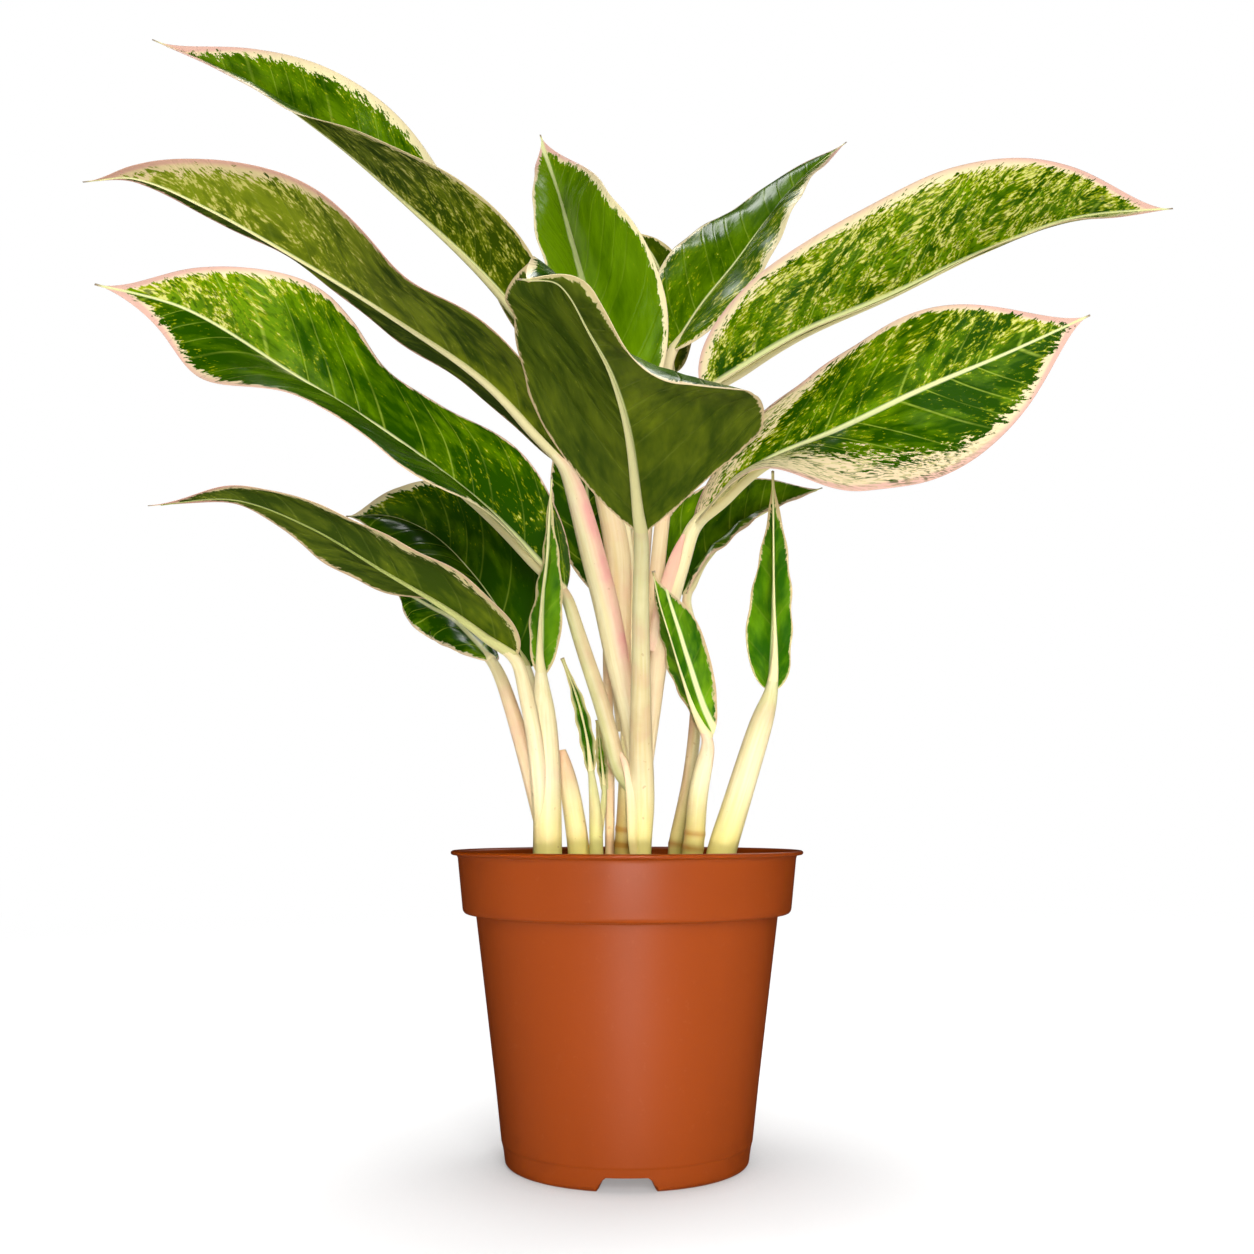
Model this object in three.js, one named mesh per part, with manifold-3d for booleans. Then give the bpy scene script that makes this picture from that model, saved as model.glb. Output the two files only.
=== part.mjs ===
// Potted Chinese evergreen: leaves, leaf stalks, soil and nursery pot. Millimetres, +Z up.
// The origin is the middle of the pot's underside, and the plant's front faces -Y.
import * as THREE from "three";
import Module from "manifold-3d";

const wasm = await Module();
wasm.setup();

// ---------- pot and soil ----------
const SIDES = 40; // facets round the pot
const RIM_R = 70; // outer edge of the lip
const RIM_Z = 118.9; // top of the lip
const LIP_H = 1.8; // thickness of the lip
const BAND_TOP_R = 67.2; // rim band, just under the lip
const BAND_LOW_R = 64.9; // rim band, at its lower edge
const BAND_Z = 94.5; // lower edge of the rim band
const BODY_TOP_R = 59.7; // tapered wall, just under the band
const BASE_R = 47.3; // tapered wall, at the foot
const WALL = 1.6; // wall thickness
const FLOOR_Z = 6.2; // underside of the raised floor ring
const FLOOR_T = 1.8; // floor thickness
const PAD_R = 15; // flat middle of the underside, level with the foot
const FOOT_W = 4; // width of the foot ring
const NOTCH_W = 22.5; // drainage notch in the foot, at the bottom
const NOTCH_TOP_W = 16.7; // the same, at its top
const NOTCH_H = 5.1; // its height
const DRAIN_R = 3.6; // drain holes in the floor ring
const SOIL_Z = 106; // top of the soil
const GAP = 0.35; // clearance between touching pieces
const FOOT_Z = 72; // depth at which the stalks end in the soil

// ---------- leaves ----------
const SHEET = 0.7; // blade thickness
const STEPS = 14; // stations along a big blade
const YOUNG_STEPS = 8; // stations along a rolled young blade
// Fold angles are measured across the midrib: 0 is square to it and to the line of sight from
// this point, 90 is towards the point, -90 is away from it.
const VIEW = new THREE.Vector3(0, -550, 130);

// Each blade: midrib points from base to tip, side (-1 leans left, 1 leans right), half width,
// peak (where it is widest, as a share of its length), fold angles of its two halves at even
// steps from base to tip, and its edge wave (height in mm, count, start). "up" turns the raised
// side of the midrib down, "other" is the second half's width, "narrow" slims that half near its
// base up to that share of the length, and "wedge" does so for both.
const BLADES = {
  leaf_a_blade: {
    rib: [[-34, 5, 329], [-64, 14, 367], [-99, 22, 403], [-136, 27, 437], [-176, 32, 467], [-219, 32, 487]],
    lean: -1, half: 29, peak: 0.45, up: 1,
    one: [5, 12, 56, 86, 96, 95],
    two: [-110, -95, -48, -8, 0, 0],
    wave: [1.2, 2.6, 0.2],
  },
  leaf_b_blade: {
    rib: [[-27, -5, 277], [-57, -13, 308], [-96, -20, 334], [-136, -27, 357], [-172, -32, 376], [-199, -33, 387], [-220, -32, 386]],
    lean: -1, half: 35, peak: 0.42, up: 1,
    one: [55, 53, 65, 32, 30, 60],
    two: [-100, -105, -100, -95, -99, -105],
    wave: [1.5, 2.2, 0.5],
  },
  leaf_c_blade: {
    rib: [[-25, -14, 221], [-54, -38, 248], [-88, -52, 273], [-125, -63, 295], [-162, -70, 317], [-196, -73, 326]],
    lean: -1, half: 40, peak: 0.45, up: -1, narrow: 0.3, other: 35,
    one: [-35, -25, -42, -24, 0, -30],
    two: [92, 90, 98, 103, 148, 150],
    wave: [1.5, 2.4, 0.1],
  },
  leaf_d_blade: {
    rib: [[-41, 2, 192], [-51, 6, 213], [-65, 10, 233], [-82, 14, 250], [-101, 18, 259], [-121, 22, 260]],
    lean: -1, half: 30, peak: 0.42, up: -1, other: 14,
    one: [-10, -12, -15, -10, -10, -10],
    two: [120, 120, 125, 130, 130, 130],
    wave: [1.5, 2.2, 0.4],
  },
  leaf_e_blade: {
    rib: [[-43, -32, 193], [-66, -43, 209], [-91, -52, 223], [-116, -61, 237], [-143, -68, 246], [-173, -71, 243]],
    lean: -1, half: 26, peak: 0.38, up: 1,
    one: [50, 58, 71, 71, 72, 80],
    two: [-90, -93, -106, -111, -98, -100],
    wave: [1.2, 2.0, 0.6],
  },
  leaf_f_blade: {
    rib: [[-55, 0, 195], [-64, 11, 205], [-74, 21, 215], [-85, 33, 222], [-96, 45, 229], [-106, 58, 234]],
    lean: -1, half: 13, peak: 0.45, up: -1, other: 12,
    one: [-60, -60, -60, -60, -60, -60],
    two: [150, 160, 170, 175, 175, 170],
    wave: [1.2, 1.6, 0.3],
  },
  leaf_g_blade: {
    rib: [[5, -90, 228], [1, -130, 250], [-4, -165, 259], [-10, -195, 262], [-17, -222, 265], [-26, -240, 259]],
    lean: -1, half: 43, peak: 0.38, up: 1, other: 40, wedge: 0.3,
    one: [0, 3, 16, 46, 72, 70],
    two: [-160, -148, -134, -116, -100, -105],
    wave: [1.5, 2.0, 0.2],
  },
  leaf_h_blade: {
    rib: [[-8, 12, 298], [-12, 18, 329], [-17, 25, 360], [-24, 34, 390], [-32, 43, 420], [-41, 52, 451]],
    lean: -1, half: 34, peak: 0.36, up: -1,
    one: [10, 6, 22, 48, 28, 0],
    two: [112, 112, 115, 118, 120, 160],
    wave: [1.2, 1.8, 0.3],
  },
  leaf_i_blade: {
    rib: [[21, 62, 338], [20, 67, 356], [19, 73, 374], [17, 78, 391], [10, 83, 408], [-1, 88, 421]],
    lean: -1, half: 14, peak: 0.5, up: 1,
    one: [-20, -20, -20, -20, -20, -20],
    two: [-150, -150, -150, -150, -150, -150],
    wave: [0.8, 1.5, 0.2],
  },
  leaf_j_blade: {
    rib: [[20, 36, 339], [34, 45, 364], [51, 55, 389], [68, 63, 415], [86, 70, 439], [108, 78, 461]],
    lean: 1, half: 30, peak: 0.4, up: 1,
    one: [-20, -20, -28, -50, -56, -60],
    two: [122, 120, 110, 98, 102, 110],
    wave: [1.2, 2.2, 0.7],
  },
  leaf_k_blade: {
    rib: [[33, 6, 310], [72, 11, 336], [114, 15, 356], [155, 18, 377], [198, 22, 395], [243, 22, 400]],
    lean: 1, half: 40, peak: 0.5, up: 1,
    one: [-15, -18, -8, 0, 0, -20],
    two: [88, 90, 90, 90, 96, 110],
    wave: [1.2, 2.0, 0.4],
  },
  leaf_l_blade: {
    rib: [[28, -6, 251], [53, -16, 272], [85, -25, 285], [116, -32, 299], [149, -38, 312], [181, -42, 326]],
    lean: 1, half: 31, peak: 0.52, up: 1, other: 35,
    one: [-60, -50, -34, -16, 0, 0],
    two: [95, 99, 138, 176, 178, 175],
    wave: [1.5, 2.3, 0.1],
  },
  leaf_m_blade: {
    rib: [[25, 20, 225], [34, 32, 243], [50, 44, 260], [70, 54, 273], [90, 60, 282]],
    lean: 1, half: 26, peak: 0.42, up: 1, other: 8,
    one: [-10, -10, -15, -25, -30],
    two: [100, 100, 100, 100, 100],
    wave: [1.0, 1.8, 0.3],
  },
  leaf_n_blade: {
    rib: [[-9, 28, 225], [-15, 42, 254], [-19, 54, 284], [-21, 64, 316], [-18, 70, 337]],
    lean: -1, half: 18, peak: 0.42, up: -1,
    one: [-10, -10, -10, -10, -10],
    two: [150, 150, 150, 150, 150],
    wave: [1.0, 1.8, 0.3],
  },
  young_1_blade: {
    rib: [[-34, -14, 186], [-34, -21, 201], [-33, -29, 216], [-31, -35, 232], [-30, -38, 248], [-29, -39, 262]],
    lean: -1, half: 8.5, peak: 0.33, up: 1, young: true,
    one: [-40, -10, -20, -45, -60, -70],
    two: [-130, -126, -110, -102, -105, -110],
    wave: [0, 1, 0],
  },
  young_2_blade: {
    rib: [[-14, -10, 148], [-16, -10, 163], [-20, -10, 179], [-26, -10, 195]],
    lean: -1, half: 3.4, peak: 0.35, up: 1, young: true,
    one: [-30, -30, -35, -40],
    two: [-150, -150, -145, -140],
    wave: [0, 1, 0],
  },
  young_3_blade: {
    rib: [[32, -20, 162], [26, -22, 174], [21, -24, 188], [17, -25, 201], [13, -26, 214], [10, -28, 227]],
    lean: -1, half: 12.5, peak: 0.5, up: 1, young: true,
    one: [-25, -8, 0, 0, 0, -10],
    two: [-114, -105, -112, -108, -104, -110],
    wave: [0, 1, 0],
  },
  young_4_blade: {
    rib: [[58, -8, 182], [59, -10, 200], [59, -12, 218], [59, -13, 235], [59, -14, 253], [59, -14, 271]],
    lean: -1, half: 11.5, peak: 0.28, up: 1, young: true,
    one: [-30, -50, -50, -50, -48, -45],
    two: [-175, -180, -150, -130, -118, -115],
    wave: [0, 1, 0],
  },
  young_5_blade: {
    rib: [[-9, 1, 143], [-10, 2, 152], [-11, 2, 161], [-12, 2, 171]],
    lean: -1, half: 2.4, peak: 0.4, up: 1, young: true,
    one: [-20, -20, -25, -30],
    two: [-160, -160, -155, -150],
    wave: [0, 1, 0],
  },
};

// Each group of stalks is one fused body. A stalk is a list of [x, y, z, radius] from its foot
// up. Where it names a blade, it ends square to that blade's base.
const STALKS = {
  stalks_left: [
    { foot: [-31, -14, 5.7], way: [[-31, -14, 117, 5.7], [-32, -13, 150, 5.2], [-33, -11.5, 168, 4.7]], blade: "young_1_blade", top: 2.6 },
    { way: [[-33, -15, 128, 3.2], [-36, -20, 162, 3.2], [-38, -26, 180, 2.9]], blade: "leaf_e_blade", top: 2.3 },
    { way: [[-33, -12, 128, 3.2], [-41, -8, 158, 3.3], [-48, -4, 183, 2.9]], blade: "leaf_f_blade", top: 2.2 },
    { way: [[-32, -10, 134, 3.2], [-36, -1, 165, 3.0]], blade: "leaf_d_blade", top: 2.2 },
  ],
  stub_sheath: [
    { foot: [-19, -4, 4.4], way: [[-19, -4, 117, 4.4], [-22, -3.5, 138, 4], [-25, -3, 152, 3.2], [-26.5, -2.5, 160, 1.2]] },
  ],
  stalks_young_2: [
    { foot: [-12, -12, 2.8], way: [[-12, -12, 117, 2.8], [-12.5, -11, 135, 2.3]], blade: "young_2_blade", top: 1.4 },
    { way: [[-12, -12, 116, 1.4], [-10, -4, 132, 1.3]], blade: "young_5_blade", top: 1.1 },
  ],
  stalk_leaf_n: [
    { foot: [-7, 5, 1.9], way: [[-7, 5, 117, 1.9], [-7, 8, 150, 1.9], [-8, 15, 185, 2]], blade: "leaf_n_blade", top: 1.8 },
  ],
  stalks_centre: [
    { foot: [-1, -1, 4.2], way: [[-1, -1, 119, 4.2], [-0.8, -1.2, 121, 4.7], [-0.6, -1.4, 123, 4.2], [1.2, -3, 146, 4.6], [1.5, -2, 185, 3.4]] },
    { foot: [6, -9, 3.6], way: [[6, -9, 120, 3.6], [6, -9, 138, 4.9], [5.5, -16, 160, 4.6], [5.5, -38, 186, 4], [5, -64, 210, 3.5]], blade: "leaf_g_blade", top: 2.9 },
    { way: [[3, -5, 142, 3], [-6, -8, 162, 3], [-11, -8, 178, 2.9], [-15.5, -7, 195, 2.8]], blade: "leaf_c_blade", top: 2.3 },
    { way: [[2, -5, 166, 4], [-3, -7, 202, 4.2], [-7, -8, 227, 4.3], [-13, -7, 250, 4.0]], blade: "leaf_b_blade", top: 2.4 },
    { way: [[0, 1, 165, 4], [-3, 6, 204, 4.5], [-7, 9, 238, 4.4], [-14, 8, 277, 3.8], [-22, 5, 304, 3.2]], blade: "leaf_a_blade", top: 2.4 },
    { way: [[2, 2, 172, 3.4], [1, 9, 222, 3.4], [-3, 12, 265, 3]], blade: "leaf_h_blade", top: 2.4 },
    { way: [[3, 2, 168, 3.2], [5, 10, 213, 3.2], [8, 18, 257, 3.1], [12, 28, 298, 2.8]], blade: "leaf_j_blade", top: 2.3 },
    { way: [[2, 0, 168, 2.8], [1, 20, 212, 2.5], [4, 38, 258, 2.3], [13, 54, 306, 2]], blade: "leaf_i_blade", top: 1.6 },
    { way: [[4, -5, 146, 3.2], [9.5, -2, 199, 3], [12.5, 0, 233, 3.1], [16, 2, 263, 3], [21, 3.5, 288, 2.8]], blade: "leaf_k_blade", top: 2.4 },
    { way: [[5, -7, 140, 3.4], [9.5, -9, 170, 3.4], [13.5, -8, 198, 3.7], [18, -6, 219, 3.9]], blade: "leaf_l_blade", top: 2.6 },
  ],
  stalk_leaf_m: [
    { foot: [19, 2, 2.8], way: [[19, 2, 115, 2.8], [19.5, 2, 121, 3.1], [20, 2.2, 124, 2.8], [25, 3, 147, 2.6], [28, 5, 171, 2.5], [29, 10, 200, 2.3]], blade: "leaf_m_blade", top: 1.9 },
  ],
  stalk_young_3: [
    { foot: [25, -16, 4], way: [[25, -16, 117, 4], [25.6, -16.4, 120, 4.4], [26.2, -16.8, 123, 4], [29.5, -18, 140, 3.6]], blade: "young_3_blade", top: 2.2 },
  ],
  stalk_young_4: [
    { foot: [36, -11, 5.9], way: [[36, -11, 114, 5.9], [42, -9, 135, 5.3], [50, -7.5, 156, 4.7]], blade: "young_4_blade", top: 2.6 },
  ],
};

// ---------- curves ----------

// Point at share u of a smooth line through points, spaced by the distance between them.
// Works on [x, y, z] and on [x, y, z, radius].
function along(points, u) {
  const at = [0];
  for (let i = 1; i < points.length; i++) {
    const [p, q] = [points[i - 1], points[i]];
    at.push(at[i - 1] + Math.hypot(q[0] - p[0], q[1] - p[1], q[2] - p[2]));
  }
  const s = u * at[at.length - 1];
  let k = 0;
  while (k < points.length - 2 && s > at[k + 1]) k++;
  const slope = (i) => {
    const a = Math.max(0, i - 1);
    const b = Math.min(points.length - 1, i + 1);
    return points[i].map((_, c) => (points[b][c] - points[a][c]) / (at[b] - at[a]));
  };
  const gap = at[k + 1] - at[k];
  const x = (s - at[k]) / gap;
  const m0 = slope(k);
  const m1 = slope(k + 1);
  return points[k].map((p, c) => {
    const q = points[k + 1][c];
    const bend = (1 - x) * (1 - x) * x * gap * m0[c] - x * x * (1 - x) * gap * m1[c];
    return p * (1 + 2 * x) * (1 - x) * (1 - x) + q * x * x * (3 - 2 * x) + bend;
  });
}

// Value at share t of a list of values at even steps, eased between them.
function eased(values, t) {
  const s = Math.min(Math.max(t, 0), 1) * (values.length - 1);
  const k = Math.min(Math.floor(s), values.length - 2);
  const x = s - k;
  const slope = (i) => {
    const a = Math.max(0, i - 1);
    const b = Math.min(values.length - 1, i + 1);
    return (values[b] - values[a]) / (b - a);
  };
  const bend = (1 - x) * (1 - x) * x * slope(k) - x * x * (1 - x) * slope(k + 1);
  return values[k] * (1 + 2 * x) * (1 - x) * (1 - x) + values[k + 1] * x * x * (3 - 2 * x) + bend;
}

const vec = (p) => new THREE.Vector3(p[0], p[1], p[2]);

// Unit direction of a smooth line at share u.
function heading(points, u) {
  const a = vec(along(points, Math.max(0, u - 0.01)));
  const b = vec(along(points, Math.min(1, u + 0.01)));
  return b.sub(a).normalize();
}

// ---------- blades ----------

// Half width of a blade at share t: an ellipse's quarter up to the peak, then a drawn-out tip.
function halfWidth(half, peak, t) {
  if (t < peak) return half * Math.sqrt(1 - (1 - t / peak) ** 2);
  const x = (t - peak) / (1 - peak);
  return half * (1 - x ** 2.8) ** 1.8;
}

// Point of a blade's middle surface: t along the midrib, side 1 or 2, s from midrib to edge.
function bladePoint(b, t, side, s) {
  const p = vec(along(b.rib, t));
  const ahead = heading(b.rib, t);
  const near = VIEW.clone().sub(p).normalize();
  near.addScaledVector(ahead, -near.dot(ahead)).normalize();
  const across = ahead.clone().cross(near).multiplyScalar(-b.lean);
  const half = side === 1 ? b.half : b.other || b.half;
  let w = halfWidth(half, b.peak, t);
  if (side === 2 && b.narrow) w *= Math.min(1, (t / b.narrow) ** 1.5);
  if (b.wedge) w *= Math.min(1, Math.sqrt(t / b.wedge));
  w = Math.max(w, b.young ? 1 + 0.6 * (1 - t) : 0.5 + 1.9 * (1 - t));
  const turn = (eased(side === 1 ? b.one : b.two, t) * Math.PI) / 180;
  const [high, count, start] = b.wave;
  const lift = high * (w / half) * s * s * Math.sin(2 * Math.PI * (count * t + start + 0.4 * side));
  const sign = side === 1 ? 1 : -1;
  p.addScaledVector(across, w * s * Math.cos(turn) - sign * lift * Math.sin(turn));
  p.addScaledVector(near, w * s * Math.sin(turn) + sign * lift * Math.cos(turn));
  return p;
}

// Closed thin blade: two grids, triangles alike, the midrib raised on the lower face.
function blade(b) {
  const steps = b.young ? YOUNG_STEPS : STEPS;
  const shares = b.young ? [0.25, 1] : [0.1, 0.4, 0.72, 1];
  const cols = [];
  for (const s of [...shares].reverse()) cols.push([2, s]);
  cols.push([1, 0]);
  for (const s of shares) cols.push([1, s]);
  const n = cols.length;
  const mid = [];
  for (let i = 0; i < steps; i++) {
    const t = i / (steps - 1);
    mid.push(cols.map(([side, s]) => bladePoint(b, t, side, s)));
  }
  const top = [];
  const low = [];
  for (let i = 0; i < steps; i++) {
    const t = i / (steps - 1);
    for (let j = 0; j < n; j++) {
      const i0 = Math.max(0, i - 1);
      const i1 = Math.min(steps - 1, i + 1);
      const j0 = Math.max(0, j - 1);
      const j1 = Math.min(n - 1, j + 1);
      const du = mid[i1][j].clone().sub(mid[i0][j]);
      const dv = mid[i][j1].clone().sub(mid[i][j0]);
      const up = du.cross(dv).normalize().multiplyScalar(b.up);
      const rib = cols[j][1] === 0 ? (b.young ? 0.7 : 2.4) * (1 - t) + 0.3 : 0;
      top.push(mid[i][j].clone().addScaledVector(up, SHEET / 2));
      low.push(mid[i][j].clone().addScaledVector(up, -SHEET / 2 - rib));
    }
  }
  const points = [...top, ...low];
  const faces = [];
  const quad = (p, q, r, s) => faces.push([p, q, r], [p, r, s]);
  const half = steps * n;
  for (let i = 0; i < steps - 1; i++) {
    for (let j = 0; j < n - 1; j++) {
      const p = i * n + j;
      quad(p, p + n, p + n + 1, p + 1);
      quad(half + p, half + p + 1, half + p + n + 1, half + p + n);
      faces.pop();
      faces.pop();
      faces.push([half + p, half + p + n + 1, half + p + n], [half + p, half + p + 1, half + p + n + 1]);
    }
    const l = i * n;
    const r = i * n + n - 1;
    quad(l, half + l, half + l + n, l + n);
    quad(r, r + n, half + r + n, half + r);
  }
  for (let j = 0; j < n - 1; j++) {
    const e = (steps - 1) * n + j;
    quad(j, j + 1, half + j + 1, half + j);
    quad(e, half + e, half + e + 1, e + 1);
  }
  return shell(points, faces);
}

// ---------- stalks ----------

// Closed round tube along [x, y, z, radius] points, with flat ends.
function tube(points, sides, steps) {
  const ring = [];
  let side = new THREE.Vector3(1, 0, 0);
  for (let i = 0; i < steps; i++) {
    const u = i / (steps - 1);
    const p = along(points, u);
    const ahead = heading(points, u);
    side = side.clone().addScaledVector(ahead, -side.dot(ahead)).normalize();
    const other = ahead.clone().cross(side);
    for (let j = 0; j < sides; j++) {
      const a = (2 * Math.PI * j) / sides;
      const v = vec(p).addScaledVector(side, p[3] * Math.cos(a));
      ring.push(v.addScaledVector(other, p[3] * Math.sin(a)));
    }
  }
  const faces = [];
  for (let i = 0; i < steps - 1; i++) {
    for (let j = 0; j < sides; j++) {
      const p = i * sides + j;
      const q = i * sides + ((j + 1) % sides);
      faces.push([p, q, q + sides], [p, q + sides, p + sides]);
    }
  }
  const last = (steps - 1) * sides;
  for (let j = 1; j < sides - 1; j++) {
    faces.push([0, j + 1, j], [last, last + j, last + j + 1]);
  }
  return shell(ring, faces);
}

// One stalk, from its foot in the soil or its seat in another stalk, up to its blade's base.
function stalk(spec) {
  const way = spec.way.map((p) => [...p]);
  if (spec.blade) {
    const rib = BLADES[spec.blade].rib;
    const base = vec(rib[0]);
    const ahead = heading(rib, 0.01);
    const end = base.clone().addScaledVector(ahead, -0.75);
    const before = base.clone().addScaledVector(ahead, -7);
    way.push([before.x, before.y, before.z, spec.top * 1.1]);
    way.push([end.x, end.y, end.z, spec.top]);
  }
  if (spec.foot) {
    const [x, y, r] = spec.foot;
    way.unshift([x, y, FOOT_Z, r], [x, y, SOIL_Z + 1, r]);
  }
  return tube(way, 7, Math.max(5, Math.round(way.length * 1.7)));
}

// ---------- solids ----------

// manifold-3d solid from points and triangles, turned to face out.
function shell(points, faces) {
  const make = (list) =>
    new wasm.Manifold(
      new wasm.Mesh({
        numProp: 3,
        vertProperties: new Float32Array(points.flatMap((p) => [p.x, p.y, p.z])),
        triVerts: new Uint32Array(list.flat()),
      }),
    );
  const first = make(faces);
  return first.volume() > 0 ? first : make(faces.map(([p, q, r]) => [p, r, q]));
}

// Solid of revolution about Z from a closed [r, z] outline that may touch the axis.
function spun(outline, sides) {
  const points = [];
  const start = outline.map(([r, z]) => {
    const first = points.length;
    const count = r === 0 ? 1 : sides;
    for (let j = 0; j < count; j++) {
      const a = (2 * Math.PI * (j + 0.5)) / sides;
      points.push(new THREE.Vector3(r * Math.cos(a), r * Math.sin(a), z));
    }
    return first;
  });
  const faces = [];
  for (let i = 0; i < outline.length; i++) {
    const k = (i + 1) % outline.length;
    const [onA, onB] = [outline[i][0] === 0, outline[k][0] === 0];
    if (onA && onB) continue;
    for (let j = 0; j < sides; j++) {
      const n = (j + 1) % sides;
      const a = start[i] + (onA ? 0 : j);
      const b = start[i] + (onA ? 0 : n);
      const c = start[k] + (onB ? 0 : n);
      const d = start[k] + (onB ? 0 : j);
      if (!onA) faces.push([a, b, c]);
      if (!onB) faces.push([a, c, d]);
    }
  }
  return shell(points, faces);
}

// Mesh of a manifold-3d solid, with its own material.
function meshOf(solid, name, color) {
  const m = solid.getMesh();
  const geometry = new THREE.BufferGeometry();
  const xyz = new Float32Array(m.numVert * 3);
  for (let i = 0; i < m.numVert; i++) {
    xyz.set(m.vertProperties.subarray(i * m.numProp, i * m.numProp + 3), i * 3);
  }
  geometry.setAttribute("position", new THREE.BufferAttribute(xyz, 3));
  geometry.setIndex(new THREE.BufferAttribute(new Uint32Array(m.triVerts), 1));
  const flat = geometry.toNonIndexed();
  flat.computeVertexNormals();
  const mesh = new THREE.Mesh(flat, new THREE.MeshStandardMaterial({ color }));
  mesh.name = name;
  return mesh;
}

const plant = new THREE.Group();
plant.name = "potted_chinese_evergreen";

// ---------- pot ----------

const inner = (r) => r - WALL;
const floorTop = FLOOR_Z + FLOOR_T;
const bodyAt = (z) => BASE_R + ((BODY_TOP_R - BASE_R) * z) / BAND_Z;
const potOutline = [
  [0, 0],
  [PAD_R, 0],
  [PAD_R + 3, FLOOR_Z],
  [BASE_R - FOOT_W - 0.6, FLOOR_Z],
  [BASE_R - FOOT_W, 0],
  [BASE_R - 1.6, 0],
  [BASE_R - 0.3, 0.5],
  [bodyAt(2.4) - 0.05, 2.4],
  [BODY_TOP_R, BAND_Z - 0.2],
  [BODY_TOP_R + 0.6, BAND_Z],
  [BAND_LOW_R - 1.4, BAND_Z],
  [BAND_LOW_R, BAND_Z + 1.6],
  [BAND_TOP_R, RIM_Z - LIP_H - 0.6],
  [RIM_R - 0.6, RIM_Z - LIP_H],
  [RIM_R, RIM_Z - LIP_H + 0.7],
  [RIM_R - 0.4, RIM_Z - 0.3],
  [RIM_R - 1.2, RIM_Z],
  [inner(BAND_TOP_R), RIM_Z - 1],
  [inner(BAND_LOW_R), BAND_Z + 4],
  [inner(BODY_TOP_R), BAND_Z + 1.2],
  [inner(bodyAt(floorTop)), floorTop],
  [PAD_R + 1.6, floorTop],
  [PAD_R - 1.4, FLOOR_T],
  [0, FLOOR_T],
];
let pot = spun(potOutline, SIDES);
const notchShape = new THREE.Shape([
  new THREE.Vector2(-NOTCH_W / 2, -1),
  new THREE.Vector2(NOTCH_W / 2, -1),
  new THREE.Vector2(NOTCH_W / 2, 0),
  new THREE.Vector2(NOTCH_TOP_W / 2 + 0.7, NOTCH_H - 1.1),
  new THREE.Vector2(NOTCH_TOP_W / 2 - 0.9, NOTCH_H),
  new THREE.Vector2(-NOTCH_TOP_W / 2 + 0.9, NOTCH_H),
  new THREE.Vector2(-NOTCH_TOP_W / 2 - 0.7, NOTCH_H - 1.1),
  new THREE.Vector2(-NOTCH_W / 2, 0),
]);
const notchPoints = notchShape.getPoints();
for (let k = 0; k < 4; k++) {
  const spin = (k * Math.PI) / 2;
  const corners = [];
  for (const y of [-BASE_R - 4, -BASE_R + FOOT_W + 4]) {
    for (const p of notchPoints) {
      corners.push(new THREE.Vector3(p.x, y, p.y).applyAxisAngle(new THREE.Vector3(0, 0, 1), spin));
    }
  }
  pot = pot.subtract(wasm.Manifold.hull(corners.map((p) => [p.x, p.y, p.z])));
  for (const side of [0.25, 0.5]) {
    const a = spin + side * Math.PI;
    const drain = wasm.Manifold.cylinder(FLOOR_T + 2, DRAIN_R, DRAIN_R, 12);
    pot = pot.subtract(drain.translate([31 * Math.cos(a), 31 * Math.sin(a), FLOOR_Z - 1]));
  }
}
plant.add(meshOf(pot, "pot", 0xb5501f));

// ---------- soil ----------

const soilOutline = [
  [0, FLOOR_T + GAP],
  [PAD_R - 1.4 - GAP, FLOOR_T + GAP],
  [PAD_R + 1.6 - GAP, floorTop + GAP],
  [inner(bodyAt(floorTop)) - GAP, floorTop + GAP],
  [inner(BODY_TOP_R) - GAP, BAND_Z + 1.2],
  [inner(BAND_LOW_R) - GAP - 0.3, BAND_Z + 4 + GAP],
  [inner(BAND_LOW_R) - GAP + 0.2, SOIL_Z - 1],
  [44, SOIL_Z - 0.2],
  [0, SOIL_Z],
];
let soil = spun(soilOutline, SIDES);
for (const group of Object.values(STALKS)) {
  for (const { foot } of group) {
    if (!foot) continue;
    const [x, y, r] = foot;
    const holeR = (r + GAP) / Math.cos(Math.PI / 10);
    const hole = wasm.Manifold.cylinder(60, holeR, holeR, 10);
    soil = soil.subtract(hole.translate([x, y, FOOT_Z - GAP]));
  }
}
plant.add(meshOf(soil, "soil", 0x3a2a1c));

// ---------- plant ----------

for (const [name, spec] of Object.entries(BLADES)) {
  plant.add(meshOf(blade(spec), name, 0x3f7a12));
}
for (const [name, group] of Object.entries(STALKS)) {
  let body = stalk(group[0]);
  for (const other of group.slice(1)) body = body.add(stalk(other));
  plant.add(meshOf(body, name, 0xe9dcae));
}

export default plant;
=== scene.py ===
"""Looks of a potted Chinese evergreen: pot, potting mix, leaf blades, leaf stalks and studio.

Sizes are in millimetres in the sections and become metres where a mesh is made.
"""

import math

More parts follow.
